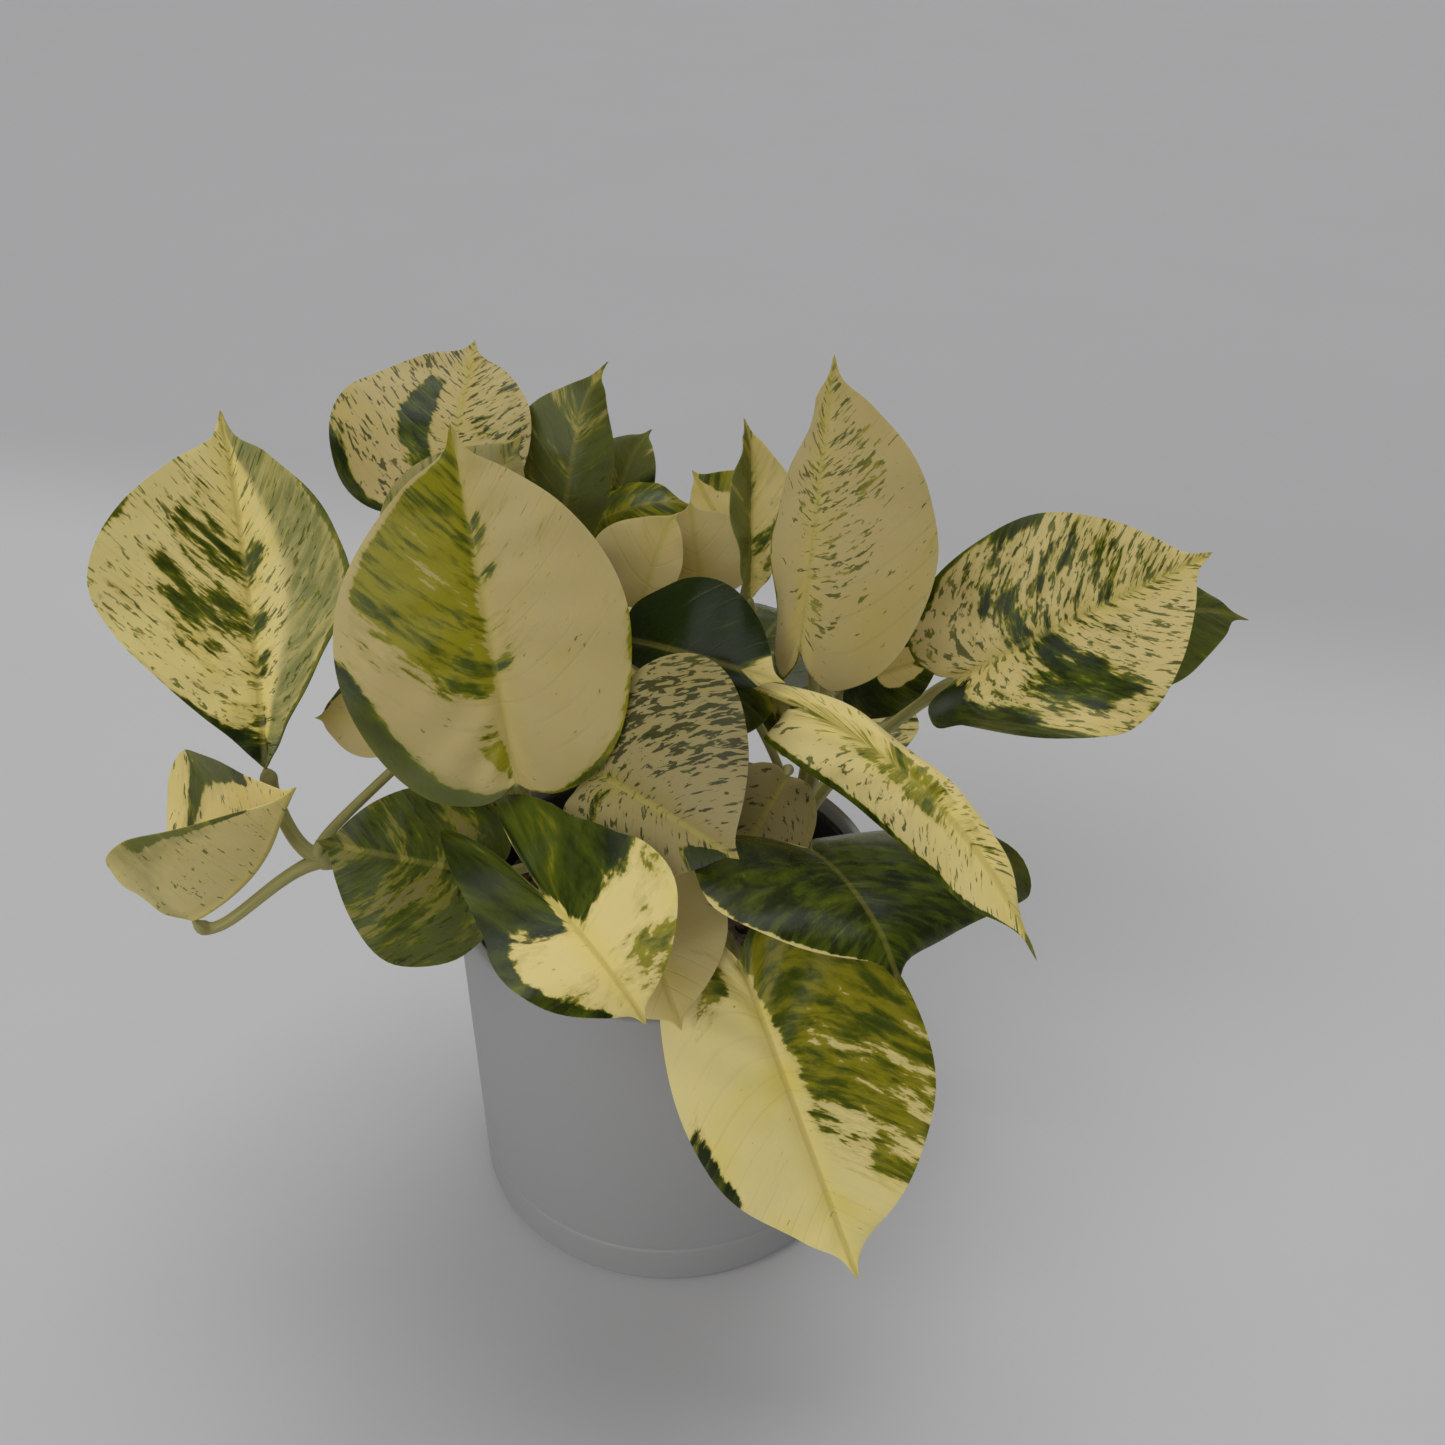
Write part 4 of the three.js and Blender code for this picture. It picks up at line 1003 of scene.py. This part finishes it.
def vine_mesh(name, number, sizes):
    """One vine: its stem with swollen nodes, and a stalk for each of its blades."""
    rods = RodBuilder()
    foot = MIX_TOP / MM + STEM_LIFT
    stem = smooth_curve([(x * SPREAD, y * SPREAD, foot + z) for x, y, z in VINES[name]], 40)
    carried = [key for key, leaf in LEAVES.items() if leaf["vine"] == number]
    low = 0.97 if number == 0 else 0.45
    shares = [low + (0.98 - low) * i / max(1, len(carried) - 1) for i in range(len(carried))]
    if len(carried) == 1:
        shares = [0.98]
    along = np.linspace(0, 1, len(stem))
    swell = sum(np.exp(-(((along - s) / 0.05) ** 2)) for s in shares)
    radii = sizes.stem_radius / MM * (1 + 0.22 * np.minimum(swell, 1) - 0.15 * along)
    bark = np.clip(0.75 - along * 1.1, 0, 1) + 0.3 * np.minimum(swell, 1)
    rods.rod(stem, radii, np.clip(bark, 0, 0.9), number * 11.0)
    for i, (key, share) in enumerate(zip(carried, shares)):
        leaf = LEAVES[key]
        spot = share * (len(stem) - 1)
        at = min(int(spot), len(stem) - 2)
        start = stem[at] + (stem[at + 1] - stem[at]) * (spot - at)
        path = stalk_path(start, unit(stem[at + 1] - stem[at]), leaf)
        t = np.linspace(0, 1, len(path))
        size = min(1.35, 0.62 + np.linalg.norm(leaf["reach"]) * 0.0058) * sizes.stalk_radius / MM
        sheath = 0.35 * np.exp(-((t / 0.14) ** 2))
        knee = 0.28 * np.exp(-(((t - 0.9) / 0.06) ** 2))
        taper = 1 - 0.22 * t - 0.35 * np.clip((t - 0.95) / 0.05, 0, 1)
        rods.rod(path, size * (taper + sheath + knee), 0.25 * knee / 0.28, number * 11.0 + i + 1, 0.16)
    return rods.mesh(name)


# ---------------------------------------------------------------- operators


class PieceOperator:
    """What the piece operators share."""

    bl_options = {"REGISTER", "UNDO"}

    def execute(self, context):
        self.build(context.scene.pothos_sizes, context.scene.pothos_colours)
        return {"FINISHED"}


class POTHOS_OT_cover_pot(PieceOperator, bpy.types.Operator):
    """White ceramic cover pot with a groove near its foot and a rounded lip"""

    bl_idname = "pothos.cover_pot"
    bl_label = "Cover pot"

    def build(self, sizes, colours):
        radius, height = POT_RADIUS, RIM_HEIGHT
        inside = radius - POT_WALL
        low = POT_LOW.z
        profile = [
            (0, low + 1.2 * MM), (radius - 8 * MM, low + 1.2 * MM), (radius - 6.5 * MM, low),
            (radius - 2.2 * MM, low), (radius, low + 2.2 * MM), (radius, low + GROOVE_HEIGHT - 0.8 * MM),
            (radius - 0.75 * MM, low + GROOVE_HEIGHT), (radius, low + GROOVE_HEIGHT + 0.8 * MM),
            (radius, height - 1.5 * MM),
            (radius - 0.45 * MM, height - 0.3 * MM), (radius - 1.5 * MM, height),
            (inside + 0.5 * MM, height - 0.3 * MM), (inside, height - 1.6 * MM), (inside, low + 8 * MM),
            (inside - 4 * MM, low + POT_FLOOR), (0, low + POT_FLOOR),
        ]

        def ripple(row, turn, out, up):
            sway = 0.12 * MM * math.sin(3 * turn + 1) + 0.07 * MM * math.sin(7 * turn + up * 60)
            return out + sway * 0.7 - 0.12 * MM, up

        points, faces = lathe(rounded(profile, 1.2 * MM), 160, ripple)
        # colours.pot is the white glaze darkened to grey by painted shade.
        material = plain_material(
            "white_glaze", colours.pot, (0.39, 0.39, 0.4), 0.3, 18.0, 1400.0, 0.5, (0.16, 0.12 * MM)
        )
        mesh = mesh_from("white_cover_pot", points, faces, 40)
        new_piece("white_cover_pot", mesh, [material], ["cover_pot"])


class POTHOS_OT_liner(PieceOperator, bpy.types.Operator):
    """Black plastic liner pot with a rolled rim and moulded ribs"""

    bl_idname = "pothos.liner"
    bl_label = "Liner pot"

    def build(self, sizes, colours):
        top, rim, foot = LINER_RADIUS, LINER_HIGH.z, LINER_LOW.z
        base = top - LINER_TAPER
        profile = [
            (0, foot), (base - 1 * MM, foot), (base, foot + LINER_WALL), (top - 2 * MM, rim - 6.5 * MM),
            (top - 0.3 * MM, rim - 6 * MM), (top, rim - 1 * MM), (top - 0.6 * MM, rim), (top - 1.6 * MM, rim),
            (top - 2.1 * MM, rim - 1.2 * MM), (top - 3.2 * MM, rim - 5 * MM),
            (base - LINER_WALL, foot + LINER_WALL), (0, foot + LINER_WALL),
        ]

        def ripple(row, turn, out, up):
            rib = 0.25 * MM * max(0, math.cos(24 * turn)) if foot + 3 * MM < up < rim - 8 * MM else 0
            return out - rib, up

        points, faces = lathe(rounded(profile, 0.6 * MM, 3), 144, ripple)
        material = plain_material(
            "black_plastic", colours.liner, (0.035, 0.034, 0.032), 0.5, 30.0, 1500.0, 0.42, (0.25, 0.15 * MM)
        )
        mesh = mesh_from("black_liner", points, faces, 35)
        new_piece("black_liner", mesh, [material], ["nursery_pot"])


class POTHOS_OT_mix(PieceOperator, bpy.types.Operator):
    """Uneven potting mix with crumbs of peat and bark"""

    bl_idname = "pothos.mix"
    bl_label = "Potting mix"

    def build(self, sizes, colours):
        random = np.random.default_rng(11)
        reach = (MIX_HIGH.x - MIX_LOW.x) / 2 - 0.2 * MM
        foot = reach - 5 * MM
        waves = random.uniform(0, 2 * math.pi, 8)

        def lumps(x, y):
            rise = math.sin(x * 190 + waves[0]) * math.sin(y * 170 + waves[1])
            middling = 0.6 * math.sin(x * 420 + y * 260 + waves[2])
            rise += middling + 0.4 * math.sin(y * 610 - x * 330 + waves[3])
            return rise * 0.9 * MM - 0.6 * MM

        profile = [(0, MIX_LOW.z), (foot * 0.86, MIX_LOW.z), (reach, MIX_TOP - 3 * MM)]
        profile += [(reach * (1 - k / 26), MIX_TOP) for k in range(1, 26)] + [(0, MIX_TOP)]

        def ripple(row, turn, out, up):
            if row < 3:
                return out, up
            return out, up + lumps(out * math.cos(turn), out * math.sin(turn))

        points, faces = lathe(profile, 96, ripple)
        work = bmesh.new()
        bed = mesh_from("bed", points, faces, 80)
        work.from_mesh(bed)
        bpy.data.meshes.remove(bed)
        for _ in range(sizes.crumb_count):
            turn = random.uniform(0, 2 * math.pi)
            out = (reach - 3.5 * MM) * math.sqrt(random.uniform(0, 1))
            size = sizes.crumb_size * random.uniform(0.25, 1.0) ** 1.5
            x, y = out * math.cos(turn), out * math.sin(turn)
            spin = Matrix.Rotation(random.uniform(0, 6.28), 4, "Z")
            spin = spin @ Matrix.Rotation(random.uniform(-0.6, 0.6), 4, "X")
            shape = Matrix.Diagonal((1, random.uniform(0.45, 1), random.uniform(0.4, 0.9), 1))
            place = Matrix.Translation((x, y, MIX_TOP + lumps(x, y) + size * 0.25))
            made = bmesh.ops.create_icosphere(work, subdivisions=2, radius=size, matrix=place @ spin @ shape)
            for vertex in made["verts"]:
                vertex.co += Vector(random.uniform(-0.16, 0.16, 3)) * size
        mesh = bpy.data.meshes.new("potting_mix_bed")
        work.to_mesh(mesh)
        work.free()
        mesh.polygons.foreach_set("use_smooth", [True] * len(mesh.polygons))
        material = plain_material(
            "moist_mix", colours.mix, (0.13, 0.08, 0.045), 0.75, 240.0, 1600.0, 0.86, (0.9, 0.8 * MM)
        )
        new_piece("potting_mix_bed", mesh, [material], ["potting_mix"])


class POTHOS_OT_vines(PieceOperator, bpy.types.Operator):
    """Stems with swollen nodes and a grooved stalk to each blade"""

    bl_idname = "pothos.vines"
    bl_label = "Vines"

    def build(self, sizes, colours):
        for number, name in enumerate(VINES):
            mesh = vine_mesh(name, number, sizes)
            new_piece(name + "_stems", mesh, [stalk_material(colours)], [name])


class POTHOS_OT_blades(PieceOperator, bpy.types.Operator):
    """Every blade, with its own outline, curl and marbling"""

    bl_idname = "pothos.blades"
    bl_label = "Blades"

    def build(self, sizes, colours):
        materials = [blade_material(colours, False), blade_material(colours, True)]
        for number, (name, leaf) in enumerate(LEAVES.items()):
            mesh = blade_mesh(name, leaf, sizes, number + 1)
            new_piece(name.replace("leaf", "blade"), mesh, materials, [name])


def add_soft_sun(name, toward, spread, strength):
    """An even soft light from one side of the sky, given the direction towards it."""
    data = bpy.data.lights.new(name, "SUN")
    data.angle = math.radians(spread)
    data.energy = strength
    light = bpy.data.objects.new(name, data)
    light.rotation_euler = Vector(toward).to_track_quat("Z", "Y").to_euler()
    bpy.context.scene.collection.objects.link(light)


class POTHOS_OT_stage(PieceOperator, bpy.types.Operator):
    """Plain pale floor, soft studio light and the camera"""

    bl_idname = "pothos.stage"
    bl_label = "Floor, light and camera"

    def build(self, sizes, colours):
        points, faces = [(0, 0, -FLOOR_DROP)], []
        rings, segments = 6, 64
        for ring in range(1, rings + 1):
            out = FLOOR_REACH * (ring / rings) ** 2
            for i in range(segments):
                turn = 2 * math.pi * i / segments
                points.append((out * math.cos(turn), out * math.sin(turn), -FLOOR_DROP))
        for i in range(segments):
            j = (i + 1) % segments
            faces.append((0, 1 + i, 1 + j))
            for ring in range(rings - 1):
                low, high = 1 + ring * segments, 1 + (ring + 1) * segments
                faces.append((low + i, high + i, high + j, low + j))
        mesh = mesh_from("studio_floor", points, faces)
        mesh.materials.append(floor_material(colours))
        floor = bpy.data.objects.new("studio_floor", mesh)
        bpy.context.scene.collection.objects.link(floor)

        world = bpy.data.worlds.new("soft_room")
        world.use_nodes = True
        sky = world.node_tree.nodes["Background"]
        sky.inputs["Color"].default_value = (1.0, 1.0, 1.0, 1.0)
        # dim light on the plant, a pale wall where the camera looks past the floor
        seen = add_node(world.node_tree, "ShaderNodeLightPath").outputs["Is Camera Ray"]
        level = maths(world.node_tree, "MULTIPLY_ADD", seen, WALL_GLOW, LIGHT_FROM_SKY)
        world.node_tree.links.new(level, sky.inputs["Strength"])
        bpy.context.scene.world = world
        add_soft_sun("overhead_soft", (0.15, 0.45, 1.0), 50, 1.15)
        add_soft_sun("front_fill", (-0.6, -0.9, 0.7), 60, 1.1)

        data = bpy.data.cameras.new("front_camera")
        data.lens, data.sensor_width = 36, 36
        data.clip_start, data.clip_end = 0.01, 20
        camera = bpy.data.objects.new("front_camera", data)
        camera.location = CAMERA_PLACE
        camera.rotation_euler = (math.radians(90 - CAMERA_PITCH), 0, 0)
        bpy.context.scene.collection.objects.link(camera)
        bpy.context.scene.camera = camera
        bpy.context.scene.view_settings.view_transform = "Standard"


class POTHOS_PT_panel(bpy.types.Panel):
    """Sidebar panel that lists the pieces"""

    bl_idname = "POTHOS_PT_panel"
    bl_label = "Variegated pothos"
    bl_space_type = "VIEW_3D"
    bl_region_type = "UI"
    bl_category = "Pothos"

    def draw(self, context):
        for operator in PIECES:
            self.layout.operator(operator.bl_idname)
        for group in (context.scene.pothos_sizes, context.scene.pothos_colours):
            column = self.layout.column(align=True)
            for key in group.__annotations__:
                column.prop(group, key)


PIECES = (
    POTHOS_OT_cover_pot, POTHOS_OT_liner, POTHOS_OT_mix, POTHOS_OT_vines, POTHOS_OT_blades, POTHOS_OT_stage,
)
CLASSES = (PothosSizes, PothosColours, *PIECES, POTHOS_PT_panel)


def register():
    for kind in CLASSES:
        bpy.utils.register_class(kind)
    bpy.types.Scene.pothos_sizes = bpy.props.PointerProperty(type=PothosSizes)
    bpy.types.Scene.pothos_colours = bpy.props.PointerProperty(type=PothosColours)


def unregister():
    del bpy.types.Scene.pothos_colours
    del bpy.types.Scene.pothos_sizes
    for kind in reversed(CLASSES):
        bpy.utils.unregister_class(kind)


def main():
    """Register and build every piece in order."""
    register()
    bpy.ops.pothos.stage()
    bpy.ops.pothos.cover_pot()
    bpy.ops.pothos.liner()
    bpy.ops.pothos.mix()
    bpy.ops.pothos.vines()
    bpy.ops.pothos.blades()


if __name__ == "__main__":
    main()
